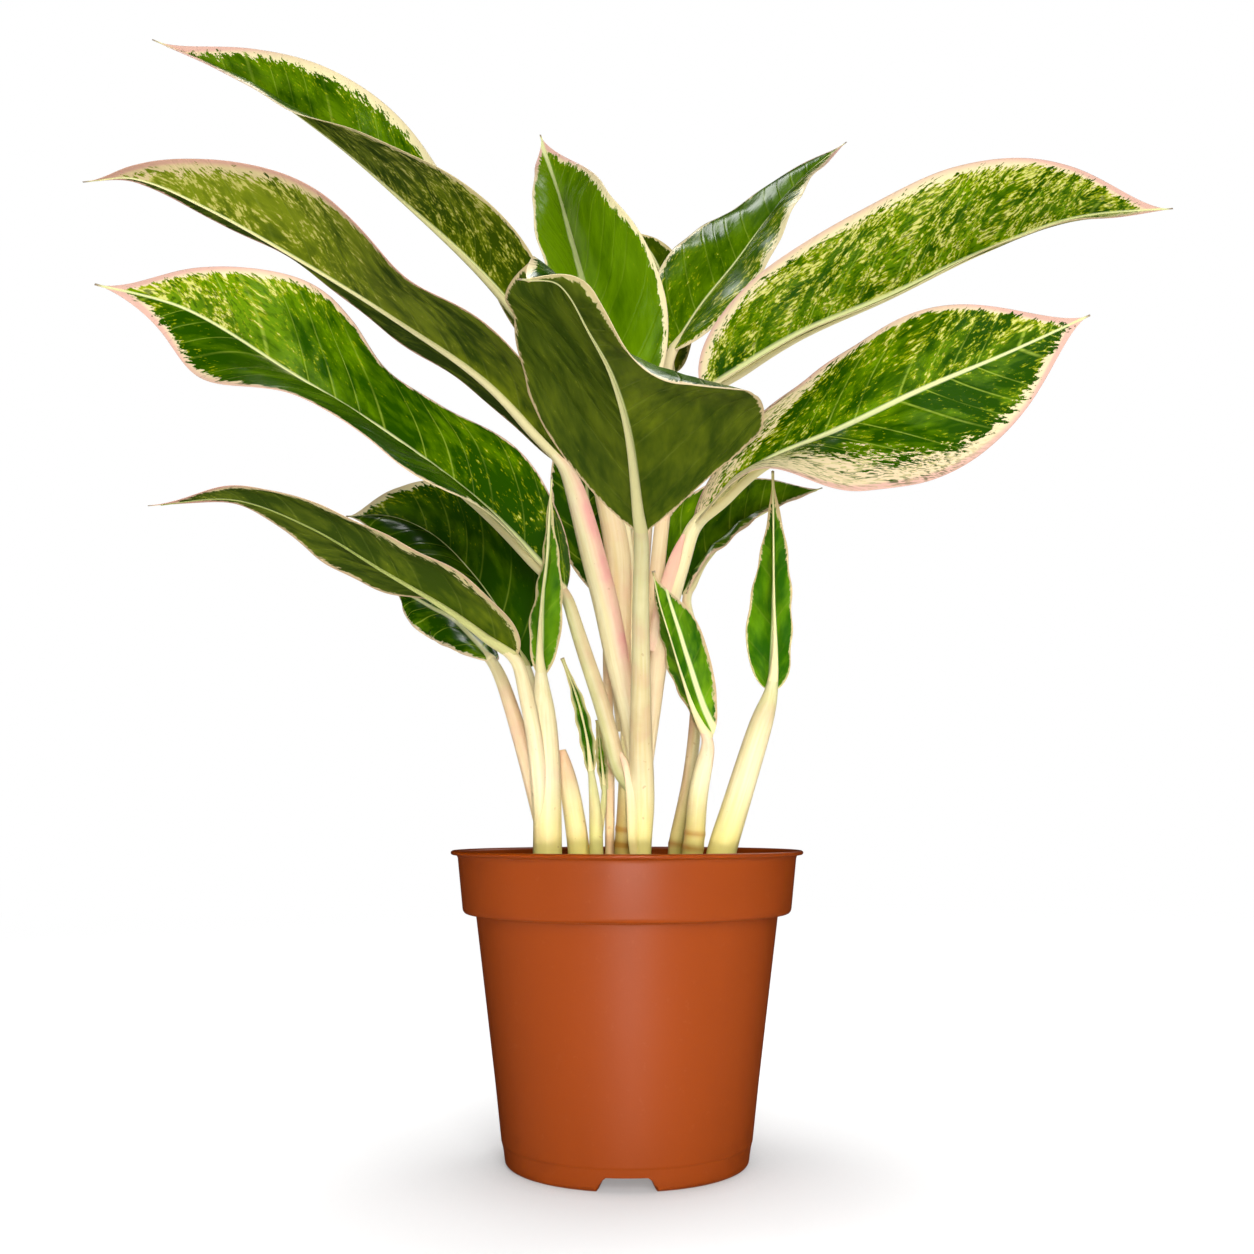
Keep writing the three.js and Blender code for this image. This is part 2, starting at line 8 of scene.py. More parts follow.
import bpy
import numpy as np
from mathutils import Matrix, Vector


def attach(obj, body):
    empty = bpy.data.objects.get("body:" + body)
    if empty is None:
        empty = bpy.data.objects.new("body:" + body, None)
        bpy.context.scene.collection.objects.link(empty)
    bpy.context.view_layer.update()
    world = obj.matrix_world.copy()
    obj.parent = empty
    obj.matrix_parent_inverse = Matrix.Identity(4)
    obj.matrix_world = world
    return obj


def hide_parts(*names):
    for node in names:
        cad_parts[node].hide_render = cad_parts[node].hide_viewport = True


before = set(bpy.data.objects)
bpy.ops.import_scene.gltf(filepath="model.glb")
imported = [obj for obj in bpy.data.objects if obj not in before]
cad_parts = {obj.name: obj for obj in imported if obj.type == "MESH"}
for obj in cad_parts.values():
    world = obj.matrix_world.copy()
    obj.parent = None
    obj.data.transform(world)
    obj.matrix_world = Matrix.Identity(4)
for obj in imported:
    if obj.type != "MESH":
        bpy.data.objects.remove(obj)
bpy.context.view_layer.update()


# ---------- pot ----------
# A 14 cm nursery pot, injection-moulded in one piece from terracotta-coloured polypropylene.
# It has a rolled lip, a deep rim band for stacking, a tapered wall and a foot ring with four
# drainage notches, and its floor has eight drain holes.

MM = 0.001  # metres in a millimetre
RIM_R, RIM_Z, LIP_H = 70.0, 118.9, 1.8  # outer edge, top and thickness of the lip
BAND_TOP_R, BAND_LOW_R, BAND_Z = 67.2, 64.9, 94.5  # rim band: radii, and its lower edge
BODY_TOP_R, BASE_R, WALL = 59.7, 47.3, 1.6  # tapered wall: radii and thickness
FLOOR_Z, FLOOR_T = 6.2, 1.8  # raised floor ring: underside and thickness
PAD_R, FOOT_W = 15.0, 4.0  # flat middle of the underside, and the foot ring's width
DRAINS, DRAIN_R, DRAIN_RING_R = 8, 3.6, 31.0  # drain holes, and the circle they lie on
MOULD_LINE_Z = 8.5  # faint ridge where two plates of the mould met
NOTCH_X, NOTCH_Z = [0.0, 7.45, 9.05, 11.25], [5.1, 5.1, 4.0, 0.0]  # half a notch's outline
FILLET = 0.8  # radius that the mould leaves on every corner
POT_SPOKES, PEG_SIDES = 240, 24  # columns round the wall, and round a drain hole


def linear(hex_colour):
    """An sRGB hex colour as linear RGBA: c / 12.92 up to 0.04045, else
    ((c + 0.055) / 1.055) ** 2.4."""
    c = [int(hex_colour[i : i + 2], 16) / 255 for i in (1, 3, 5)]
    return [v / 12.92 if v <= 0.04045 else ((v + 0.055) / 1.055) ** 2.4 for v in c] + [1.0]


def add(tree, kind, inputs=(), **settings):
    """Adds a node with its settings. An input is a value, or a node or socket that feeds it. A
    list gives them in the node's order, which for MapRange is value, from, from, to, to."""
    node = tree.nodes.new("ShaderNode" + kind)
    for key, value in settings.items():
        setattr(node, key, value)
    for key, value in inputs.items() if isinstance(inputs, dict) else enumerate(inputs):
        if isinstance(value, bpy.types.Node):
            value = next(o for o in value.outputs if o.enabled)
        if isinstance(value, bpy.types.NodeSocket):
            tree.links.new(value, node.inputs[key])
        else:
            node.inputs[key].default_value = value
    return node


def new_material(name):
    """A material with its node tree and its shader."""
    material = bpy.data.materials.new(name)
    material.use_nodes = True
    return material, material.node_tree, material.node_tree.nodes["Principled BSDF"]


def mesh_object(name, points, faces, smooth=True, **attributes):
    """Mesh object from points in mm and a list or array of faces. An attribute is an array with
    a number or a vector for each point."""
    mesh = bpy.data.meshes.new(name)
    faces = faces if isinstance(faces, list) else faces.tolist()
    mesh.from_pydata((np.asarray(points) * MM).tolist(), [], faces)
    for key, values in attributes.items():
        values = np.asarray(values, np.float32)
        kind = "FLOAT_VECTOR" if values.ndim == 2 else "FLOAT"
        layer = mesh.attributes.new(key, kind, "POINT")
        layer.data.foreach_set("vector" if values.ndim == 2 else "value", values.ravel())
    if smooth:
        mesh.shade_smooth()
    piece = bpy.data.objects.new(name, mesh)
    bpy.context.scene.collection.objects.link(piece)
    return piece


def quads(rows, columns, round_columns=False):
    """Faces of a grid of points, row by row: each cell's four corners, closed round if asked."""
    last = columns if round_columns else columns - 1
    i, j = np.meshgrid(np.arange(rows - 1), np.arange(last), indexing="ij")
    k = (j + 1) % columns
    low, high = i * columns, (i + 1) * columns
    return np.stack([low + j, low + k, high + k, high + j], -1).reshape(-1, 4)


def filleted(outline, radius, steps=4):
    """Outline with each inner corner swept round: a quadratic curve between two points at most
    radius from the corner, and at most 0.45 of the side to its neighbour."""
    p = np.array(outline, float)
    out = [p[:1]]
    u = np.linspace(0, 1, steps)[:, None]
    for a, b, c in zip(p[:-2], p[1:-1], p[2:]):
        ra, rc = np.linalg.norm(a - b), np.linalg.norm(c - b)
        start = b + (a - b) * min(radius, 0.45 * ra) / ra
        end = b + (c - b) * min(radius, 0.45 * rc) / rc
        out.append((1 - u) ** 2 * start + 2 * u * (1 - u) * b + u**2 * end)
    return np.concatenate(out + [p[-1:]])


def body_r(z):
    """Radius of the tapered wall at a height: a straight line from the foot to the rim band."""
    return BASE_R + (BODY_TOP_R - BASE_R) * z / BAND_Z


# The wall's section as radius and height, from the underside up the outside and down the inside.
pot_outline = filleted(
    [
        [0, 0],
        [PAD_R, 0],
        [PAD_R + 3, FLOOR_Z],
        [BASE_R - FOOT_W - 0.6, FLOOR_Z],
        [BASE_R - FOOT_W, 0],
        [BASE_R - 0.9, 0],
        [body_r(1.4), 1.4],
        [body_r(MOULD_LINE_Z - 0.3), MOULD_LINE_Z - 0.3],
        [body_r(MOULD_LINE_Z) + 0.22, MOULD_LINE_Z],
        [body_r(30), 30],
        [body_r(60), 60],
        [BODY_TOP_R, BAND_Z - 0.4],
        [BODY_TOP_R + 0.5, BAND_Z],
        [BAND_LOW_R - 0.9, BAND_Z],
        [BAND_LOW_R, BAND_Z + 1.2],
        [BAND_TOP_R, RIM_Z - LIP_H - 0.9],
        [BAND_TOP_R + 0.6, RIM_Z - LIP_H],
        [RIM_R - 0.5, RIM_Z - LIP_H],
        [RIM_R, RIM_Z - LIP_H + 0.6],
        [RIM_R - 0.1, RIM_Z - 0.5],
        [RIM_R - 0.8, RIM_Z],
        [BAND_TOP_R - WALL + 0.6, RIM_Z - 0.5],
        [BAND_LOW_R - WALL, BAND_Z + 4],
        [BODY_TOP_R - WALL, BAND_Z + 1.2],
        [body_r(8) - WALL, FLOOR_Z + FLOOR_T],
        [PAD_R + 1.6, FLOOR_Z + FLOOR_T],
        [PAD_R - 1.4, FLOOR_T],
        [0, FLOOR_T],
    ],
    FILLET,
)
# The section is turned round the axis, with extra columns at the notches' corners, and the foot
# is lifted to the notch's outline wherever it would be lower.
notch_turn = np.arcsin(np.array([7.0, 7.45, 7.9, 8.5, 9.05, 9.5, 11.0, 11.25, 11.5]) / BASE_R)
notch_at = np.arange(4)[:, None] * math.pi / 2
angles = np.concatenate([
    np.linspace(0, 2 * math.pi, POT_SPOKES, endpoint=False),
    (notch_at + notch_turn).ravel(),
    (notch_at - notch_turn).ravel(),
])
angles = np.unique(np.round(angles % (2 * math.pi), 4))
from_notch = np.abs((angles + math.pi / 4) % (math.pi / 2) - math.pi / 4)
notch_top = np.interp(BASE_R * np.sin(from_notch), NOTCH_X, NOTCH_Z)
rows, columns = len(pot_outline) - 2, len(angles)
r = np.repeat(pot_outline[1:-1, :1], columns, 1)
z = np.repeat(pot_outline[1:-1, 1:], columns, 1)
z = np.where((r > BASE_R - FOOT_W - 1) & (z < notch_top), notch_top, z)
ring = np.stack([r * np.cos(angles), r * np.sin(angles), z], -1).reshape(-1, 3)
ring = np.concatenate([ring, [[0, 0, 0], [0, 0, FLOOR_T]]])
low_pole, top_pole = np.full(columns, rows * columns), np.full(columns, rows * columns + 1)
j = np.arange(columns)
k, last = (j + 1) % columns, (rows - 1) * columns
poles = np.stack([low_pole, k, j, last + j, last + k, top_pole], -1).reshape(-1, 3)
pot_faces = quads(rows, columns, True).tolist() + poles.tolist()
pot = mesh_object("pot_body", ring, pot_faces, smooth=False)

# The drain holes are punched through the floor by eight short pegs.
peg_at = np.arange(DRAINS)[:, None, None] * 2 * math.pi / DRAINS
peg_turn = np.linspace(0, 2 * math.pi, PEG_SIDES, endpoint=False)
peg_z = np.array([[FLOOR_Z - 2], [FLOOR_Z + FLOOR_T + 2]])
peg_points = np.stack(np.broadcast_arrays(
    DRAIN_RING_R * np.cos(peg_at) + DRAIN_R * np.cos(peg_turn),
    DRAIN_RING_R * np.sin(peg_at) + DRAIN_R * np.sin(peg_turn),
    peg_z,
), -1).reshape(-1, 3)
peg_side = quads(2, PEG_SIDES, True)
peg_faces = []
for start in range(0, len(peg_points), 2 * PEG_SIDES):
    peg_faces.append(list(range(start + PEG_SIDES - 1, start - 1, -1)))
    peg_faces.append(list(range(start + PEG_SIDES, start + 2 * PEG_SIDES)))
    peg_faces += (peg_side + start).tolist()
pegs = mesh_object("pegs", peg_points, peg_faces, smooth=False)
punch = pot.modifiers.new("drain_holes", "BOOLEAN")
punch.operation = "DIFFERENCE"
punch.object = pegs
punch.solver = "EXACT"
punched = bpy.data.meshes.new_from_object(pot.evaluated_get(bpy.context.evaluated_depsgraph_get()))
pot.modifiers.clear()
pot.data = punched
bpy.data.objects.remove(pegs)
punched.shade_smooth()
punched.set_sharp_from_angle(angle=math.radians(38))

# Moulded polypropylene: a satin skin with faint flow marks of about 36 by 140 mm, pale scuffs of
# 4 mm, and the grain of the mould at 0.6 mm, which is coarser than the real one so that it
# shows. The eye sees an even terracotta with one soft highlight.
pot_plastic, tree, shader = new_material("moulded_polypropylene")
place = add(tree, "TexCoord").outputs["Object"]
flow_at = add(tree, "Mapping", {"Vector": place, "Scale": (1, 1, 0.25)})
flow = add(tree, "TexNoise", {"Vector": flow_at, "Scale": 28, "Detail": 3}).outputs["Fac"]
scuff = add(tree, "TexNoise", {"Vector": place, "Scale": 260, "Detail": 4, "Roughness": 0.7})
grain = add(tree, "TexNoise", {"Vector": place, "Scale": 1600, "Detail": 2}).outputs["Fac"]
worn = add(tree, "MapRange", [scuff.outputs["Fac"], 0.62, 0.72, 0, 0.22])
terracotta = linear("#803301")
for part, colour in ((flow, "#903b03"), (worn, "#99502a")):
    terracotta = add(tree, "Mix", {"Factor": part, 6: terracotta, 7: linear(colour)},
                     data_type="RGBA")
tree.links.new(terracotta.outputs[2], shader.inputs["Base Color"])
satin = add(tree, "MapRange", [flow, 0, 1, 0.33, 0.42])
tree.links.new(satin.outputs["Result"], shader.inputs["Roughness"])
relief = add(tree, "Bump", {"Height": grain, "Strength": 0.12, "Distance": 0.0002})
tree.links.new(relief.outputs["Normal"], shader.inputs["Normal"])
shader.inputs["IOR"].default_value = 1.49
shader.inputs["Specular IOR Level"].default_value = 0.38
punched.materials.clear()
punched.materials.append(pot_plastic)
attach(pot, "root")
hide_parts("pot")


# ---------- potting mix ----------
# Damp potting mix of peat and composted bark, poured in and pressed by hand, with a few white
# grains of perlite. Its level is 13 mm under the lip.

SOIL_Z, SOIL_GAP = 106.0, 0.35  # level of the mix, and the gap between it and the pot
LATTICE = 64  # knots a side of the random lattices
RINGS, SPOKES = 80, 200  # grid of the top
CRUMBS, SEED = 900, 7
PEAT, BARK, PERLITE = 0.25, 0.6, 1.0  # what a crumb is, as its material reads it


def lumps(x, y, size, seed):
    """Value noise: random heights on a square lattice of that size in mm, eased between its
    knots by 3 f**2 - 2 f**3."""
    heights = np.random.default_rng(seed).random((LATTICE, LATTICE))
    gx, gy = np.asarray(x) / size + 20, np.asarray(y) / size + 20
    ix, iy = np.floor(gx).astype(int), np.floor(gy).astype(int)
    fx, fy = gx - ix, gy - iy
    fx, fy = fx * fx * (3 - 2 * fx), fy * fy * (3 - 2 * fy)
    left, right, near, far = (k % LATTICE for k in (ix, ix + 1, iy, iy + 1))
    near_row = heights[left, near] * (1 - fx) + heights[right, near] * fx
    far_row = heights[left, far] * (1 - fx) + heights[right, far] * fx
    return near_row * (1 - fy) + far_row * fy


def soil_height(x, y):
    """Level of the mix: three sizes of lumps summed, and a slight fall to the pot's wall."""
    reach = np.hypot(x, y) / 62
    rough = 2.4 * lumps(x, y, 9, 1) + 1.2 * lumps(x, y, 3.6, 2) + 0.6 * lumps(x, y, 1.6, 3)
    return SOIL_Z - 2.2 + rough - 1.2 * reach**3


# The filling: a lumpy top in rings, then the wall and the underside that fit inside the pot.
inner_r = BAND_LOW_R - WALL - SOIL_GAP
spread = np.linspace(0.01, 1, RINGS)[:, None] ** 0.8 * inner_r
turn = np.linspace(0, 2 * math.pi, SPOKES, endpoint=False)[None, :]
top_x, top_y = spread * np.cos(turn), spread * np.sin(turn)
top_points = np.stack([top_x, top_y, soil_height(top_x, top_y)], -1)
wall_r, wall_z = np.array([
    [inner_r, 100.5],
    [BODY_TOP_R - WALL - SOIL_GAP, BAND_Z + 1],
    [body_r(8) - WALL - SOIL_GAP, FLOOR_Z + FLOOR_T + SOIL_GAP],
    [PAD_R + 1.6, FLOOR_Z + FLOOR_T + SOIL_GAP],
    [PAD_R - 1.8, FLOOR_T + SOIL_GAP],
    [0.5, FLOOR_T + SOIL_GAP],
]).T[:, :, None]
wall_points = np.stack([wall_r * np.cos(turn), wall_r * np.sin(turn), wall_z + 0 * turn], -1)
soil_points = np.concatenate([top_points, wall_points]).reshape(-1, 3)
soil_faces = quads(RINGS + len(wall_r), SPOKES, True)[:, ::-1].tolist()
soil_faces.append(list(range(SPOKES)))
soil_faces.append(list(range(len(soil_points) - 1, len(soil_points) - SPOKES - 1, -1)))

# Crumbs: a coarse ball with each corner drawn in or out at random, laid flat and turned.
rng = np.random.default_rng(SEED)
ball_rows, ball_columns = 5, 7
ball_v = np.linspace(0.18, math.pi - 0.18, ball_rows)[:, None]
ball_u = np.linspace(0, 2 * math.pi, ball_columns, endpoint=False)[None, :]
ball = np.stack([
    np.sin(ball_v) * np.cos(ball_u), np.sin(ball_v) * np.sin(ball_u), np.cos(ball_v) + 0 * ball_u,
], -1).reshape(-1, 3)
ball_faces = quads(ball_rows, ball_columns, True)[:, ::-1].tolist()
ball_faces.append(list(range(ball_columns)))
ball_faces.append(list(range(len(ball) - 1, len(ball) - ball_columns - 1, -1)))
points, kinds = [soil_points], [np.zeros(len(soil_points))]
for crumb in range(CRUMBS):
    far, a = (inner_r - 2.5) * math.sqrt(rng.random()), 2 * math.pi * rng.random()
    x, y = far * math.cos(a), far * math.sin(a)
    kind = rng.choice([PEAT, BARK, PERLITE], p=[0.62, 0.32, 0.06])
    size = rng.uniform(0.7, 2.0) * (0.8 if kind == PERLITE else 1.0)
    length = rng.uniform(1.0, 2.6) if kind == BARK else rng.uniform(0.9, 1.3)
    shape = ball * rng.uniform(0.75, 1.15, (len(ball), 1))
    shape = shape * [size * length, size, size * rng.uniform(0.45, 0.8)]
    spin = 2 * math.pi * rng.random()
    turned_x = shape[:, 0] * math.cos(spin) - shape[:, 1] * math.sin(spin)
    turned_y = shape[:, 0] * math.sin(spin) + shape[:, 1] * math.cos(spin)
    level = float(soil_height(x, y)) + 0.15 * size
    points.append(np.stack([turned_x + x, turned_y + y, shape[:, 2] + level], -1))
    kinds.append(np.full(len(ball), kind))
    start = len(soil_points) + crumb * len(ball)
    soil_faces += [[start + i for i in face] for face in ball_faces]
soil = mesh_object("potting_mix", np.concatenate(points), soil_faces, smooth=False,
                   kind=np.concatenate(kinds))

# Damp peat and bark, mottled at about 2.4 mm: matt and nearly black in the hollows, browner on
# the bits of bark, with off-white perlite.
damp_mix, tree, shader = new_material("damp_peat_and_bark")
place = add(tree, "TexCoord").outputs["Object"]
kind = add(tree, "Attribute", attribute_name="kind").outputs["Fac"]
mottle = add(tree, "TexNoise", {"Vector": place, "Scale": 420, "Detail": 4}).outputs["Fac"]
peat, bark = (
    add(tree, "Mix", {"Factor": mottle, 6: linear(dark), 7: linear(light)}, data_type="RGBA")
    for dark, light in (("#1b120b", "#3b2817"), ("#3a2413", "#7a5433"))
)
is_bark = add(tree, "MapRange", [kind, 0.4, 0.5])
is_white = add(tree, "MapRange", [kind, 0.8, 0.9])
crumbs = add(tree, "Mix", {"Factor": is_bark, 6: peat, 7: bark}, data_type="RGBA")
crumbs = add(tree, "Mix", {"Factor": is_white, 6: crumbs, 7: linear("#cfc8b8")}, data_type="RGBA")
tree.links.new(crumbs.outputs[2], shader.inputs["Base Color"])
damp = add(tree, "MapRange", [mottle, 0, 1, 0.7, 0.98])
tree.links.new(damp.outputs["Result"], shader.inputs["Roughness"])
relief = add(tree, "Bump", {"Height": mottle, "Strength": 0.6, "Distance": 0.0006})
tree.links.new(relief.outputs["Normal"], shader.inputs["Normal"])
soil.data.materials.append(damp_mix)
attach(soil, "root")
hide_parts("soil")


# ---------- leaf blades ----------
# Fourteen grown leaves and five young ones that are still rolled. Each is a thin leathery sheet
# with a stout midrib under it, folded and arched along the rib. The upper face is glossy green,
# flecked with cream along the side veins, and the margin is cream to pink.

VIEW = np.array([0.0, -550.0, 130.0])  # where folds are measured from, in front of the plant
SHEET, BRISTLE_R = 0.6, 0.25  # thickness of a blade, and the midrib's radius at the tip
VEIN_GAP = 13.0  # distance of the side veins
GROWN_GRID, YOUNG_GRID = (150, 30), (90, 18)  # rows, and columns of one half
BAR_ROWS, BAR_SIDES = 110, 14  # points along a midrib and round it
PATTERN_STEP = 10.0  # sets each leaf's pattern apart from the others'
FAR_FROM_EDGE = 30.0  # what a midrib reads as its distance to the margin


def smooth(values, at, s):
    """Cubic Hermite curve through values set at positions at, read at s. Each knot's slope is
    that of the line between its neighbours."""
    values, at, s = (np.asarray(v, float) for v in (values, at, s))
    flat = values.ndim == 1
    values = values[:, None] if flat else values
    knot = np.arange(len(at))
    low, high = np.maximum(knot - 1, 0), np.minimum(knot + 1, len(at) - 1)
    slope = (values[high] - values[low]) / (at[high] - at[low])[:, None]
    k = np.clip(np.searchsorted(at, s, side="left") - 1, 0, len(at) - 2)
    gap = (at[k + 1] - at[k])[:, None]
    x = ((s - at[k]) / gap[:, 0])[:, None]
    bend = (1 - x) ** 2 * x * gap * slope[k] - x**2 * (1 - x) * gap * slope[k + 1]
    out = values[k] * (1 + 2 * x) * (1 - x) ** 2 + values[k + 1] * x**2 * (3 - 2 * x) + bend
    return out[:, 0] if flat else out


def along(points, u):
    """Points at shares u of a line through points, spaced by the distance between them. Past its
    ends the line goes on straight."""
    p = np.asarray(points, float)
    at = np.concatenate([[0], np.cumsum(np.linalg.norm(np.diff(p[:, :3], axis=0), axis=1))])
    u = np.atleast_1d(np.asarray(u, float))
    inside = smooth(p, at, np.clip(u, 0, 1) * at[-1])
    start = smooth(p, at, [0, 0.01 * at[-1]])
    end = smooth(p, at, [0.99 * at[-1], at[-1]])
    before = np.minimum(u, 0)[:, None] * 100 * (start[1] - start[0])
    after = np.maximum(u - 1, 0)[:, None] * 100 * (end[1] - end[0])
    return inside + before + after


def eased(values, t):
    """Values at even steps, read at shares t."""
    n = len(values) - 1
    return smooth(values, np.arange(n + 1), np.clip(t, 0, 1) * n)


def unit(v):
    """Vectors scaled to length one."""
    return v / np.linalg.norm(v, axis=-1, keepdims=True)


def rib_frame(leaf, t):
    """Midrib point, direction towards the tip, direction towards the viewer made square to it,
    and the direction across, at shares t."""
    p = along(leaf["rib"], t)
    ahead = unit(along(leaf["rib"], np.minimum(t + 0.01, 1)) - along(leaf["rib"], t - 0.01))
    near = VIEW - p
    near = unit(near - (near * ahead).sum(-1, keepdims=True) * ahead)
    across = np.cross(ahead, near) * -leaf["lean"]
    return p, ahead, near, across


def rib_length(leaf):
    """Length of the midrib in mm."""
    return np.linalg.norm(np.diff(np.array(leaf["rib"], float), axis=0), axis=1).sum()


def half_width(leaf, side, t):
    """Width of a half: a quarter ellipse up to the widest place, then (1 - x**2.8) ** 1.8 to the
    tip. Some leaves narrow at the foot or have a waist."""
    half = leaf["half"] if side == 1 else leaf.get("other", leaf["half"])
    peak = leaf["peak"]
    before = np.sqrt(np.clip(1 - (1 - t / peak) ** 2, 0, 1))
    x = np.clip((t - peak) / (1 - peak), 0, 1)
    w = half * np.where(t < peak, before, (1 - x**2.8) ** 1.8)
    if side == 2 and "narrow" in leaf:
        w = w * np.minimum(1, (t / leaf["narrow"]) ** 1.5)
    if "wedge" in leaf:
        w = w * np.minimum(1, np.sqrt(t / leaf["wedge"]))
    if "waist" in leaf:
        w = w * eased(leaf["waist"][side - 1], t)
    least = 1 + 0.6 * (1 - t) if leaf.get("young") else 0.4 + 2.0 * (1 - t)
    return np.maximum(w, least), half


def blade_half(leaf, side, t, s):
    """Middle surface of one half. From the midrib point go w*s out along the folded direction,
    then lift by the margin's wave, the half's crown and the quilting between the side veins.
    Also gives the distance to the midrib and to the edge, and the place along the veins."""
    p, _, near, across = rib_frame(leaf, t)
    w, half = half_width(leaf, side, t)
    turn = np.radians(eased(leaf["one"] if side == 1 else leaf["two"], t))[:, None, None]
    sign = 1 if side == 1 else -1
    w, s, t = w[:, None], s[None, :], t[:, None]
    high, count, start = leaf["wave"]
    vein = t * rib_length(leaf) - 0.9 * w * s - 0.012 * (w * s) ** 2
    vein = vein + 3.0 * np.sin(vein / 9) + 1.2 * np.sin(vein / 4.1)
    face = leaf["up"] * leaf["lean"]
    ample = w / half
    arch = np.sin(math.pi * s)
    crown = leaf.get("crown", (2.4, 2.4))[side - 1]
    loose = leaf.get("loose", (1, 1))[side - 1]
    lift = loose * high * ample * s * s * np.sin(2 * math.pi * (count * t + start + 0.4 * side))
    lift = lift + face * crown * arch * ample
    lift = lift + face * 0.16 * np.cos(2 * math.pi * vein / VEIN_GAP) * arch**1.5 * ample
    lift = lift + loose * 0.5 * ample * s * np.sin(2 * math.pi * (5.3 * t + 0.8 * s + start))
    out, lift = (w * s)[..., None], sign * lift[..., None]
    points = p[:, None] + across[:, None] * (out * np.cos(turn) - lift * np.sin(turn))
    points = points + near[:, None] * (out * np.sin(turn) + lift * np.cos(turn))
    return points, w * s, w * (1 - s), vein


def make_blade(name, leaf, number):
    """Closed thin sheet: the two halves side by side, offset both ways along the normal, with
    the midrib as a tapered round bar under it. Rows lie closer at base and tip, and columns at
    the midrib and the margin. The sheet thins over its last 3 mm."""
    rows, half_columns = YOUNG_GRID if leaf.get("young") else GROWN_GRID
    x = np.linspace(0, 1, rows)
    t = 0.6 * x + 0.4 * (0.5 - 0.5 * np.cos(math.pi * x))
    x = np.linspace(0, 1, half_columns)
    s = 0.5 * x + 0.5 * (0.5 - 0.5 * np.cos(math.pi * x))
    halves = zip(blade_half(leaf, 2, t, s), blade_half(leaf, 1, t, s))
    mid, out, edge, vein = (np.concatenate([two[:, ::-1], one[:, 1:]], 1) for two, one in halves)
    n = mid.shape[1]
    count = rows * n
    side_one = np.concatenate([np.zeros(half_columns), np.ones(half_columns - 1)])[None, :]
    out = out * np.where(np.arange(n) < half_columns, -1, 1)
    normal = unit(np.cross(np.gradient(mid, axis=0), np.gradient(mid, axis=1))) * leaf["up"]
    thick = SHEET / 2 * (0.35 + 0.65 * np.clip(edge / 3, 0, 1))[..., None]
    points = [(mid + normal * thick).reshape(-1, 3), (mid - normal * thick).reshape(-1, 3)]

    def both(key):
        """A look that changes from base to tip, one list for each half."""
        lists = leaf.get(key, [1, 1])
        lists = lists if isinstance(lists, tuple) else (lists, lists)
        one, two = (eased(values, t)[:, None] for values in lists)
        return one * side_one + two * (1 - side_one)

    cream, flecks, bright, pink, mottled = (
        both(key) for key in ("cream", "flecks", "bright", "pink", "mottled")
    )
    # line moves the pattern and its pale band off the rib; on leaf h the moved band is a painted
    # sheen.
    line = eased(leaf.get("line", [0, 0]), t)[:, None]
    band = eased(leaf.get("band", [1.6, 1.1, 0.7, 0.35]), t)[:, None] + 0 * edge
    dry = np.clip((t - 0.985) / 0.01, 0, 1)[:, None] + 0 * edge

    # What the material reads. skin: place of the pattern in mm. margin: mm to the edge, width of
    # the cream margin, pinkness. tone: flecks, brightness, under face. rib: width of the pale
    # band, 1 on the bar, dryness of the tip.
    zero, one = np.zeros_like(edge), np.ones_like(edge)
    skin = np.stack([out - line, vein, PATTERN_STEP * number * one], -1).reshape(-1, 3)
    margin = np.stack([edge, cream, pink], -1).reshape(-1, 3)
    tones = [np.stack([flecks, bright, under], -1).reshape(-1, 3) for under in (zero, one)]
    rib = np.stack([band, zero, dry], -1).reshape(-1, 3)
    skins, margins, ribs, mottles = [skin] * 2, [margin] * 2, [rib] * 2, [mottled.ravel()] * 2

    grid = quads(rows, n)
    index = np.arange(count).reshape(rows, n)
    loop = np.concatenate([index[0, :], index[1:, -1], index[-1, -2::-1], index[-2:0:-1, 0]])
    after = np.roll(loop, -1)
    rim = np.stack([loop, loop + count, after + count, after], -1)
    if leaf["up"] == 1:
        faces = [grid[:, ::-1], grid + count, rim[:, ::-1]]
    else:
        faces = [grid, grid[:, ::-1] + count, rim]

    # The midrib bar follows the rib on the under face and thins towards the tip.
    bar_t = np.linspace(0.0, 0.97, BAR_ROWS)
    centre, radius = midrib(leaf, bar_t)
    radius = radius * np.where(bar_t < 0.005, 0.8, 1.0)
    bar, bar_faces, place, _ = bar_tube(centre, radius, BAR_SIDES)
    points.append(bar)
    faces.append(bar_faces + 2 * count)
    zero, one = np.zeros(len(bar)), np.ones(len(bar))
    rib_pink, rib_green = (
        np.repeat(eased(leaf.get(key, usual), bar_t), BAR_SIDES)
        for key, usual in (("rib_pink", [0.1, 0, 0]), ("rib_green", [0.1, 0.3, 0.4]))
    )
    apart = place[:, 1] + PATTERN_STEP * number
    skins.append(np.stack([place[:, 0] * 0.2, place[:, 2], apart], -1))
    margins.append(np.stack([FAR_FROM_EDGE * one, zero, rib_pink], -1))
    tones.append(np.stack([zero, rib_green, one], -1))
    ribs.append(np.stack([3.0 * one, one, zero], -1))
    mottles.append(one)
    looks = dict(skin=skins, margin=margins, tone=tones, rib=ribs, mottled=mottles)
    return mesh_object(name, np.concatenate(points), np.concatenate(faces),
                       **{key: np.concatenate(values) for key, values in looks.items()})


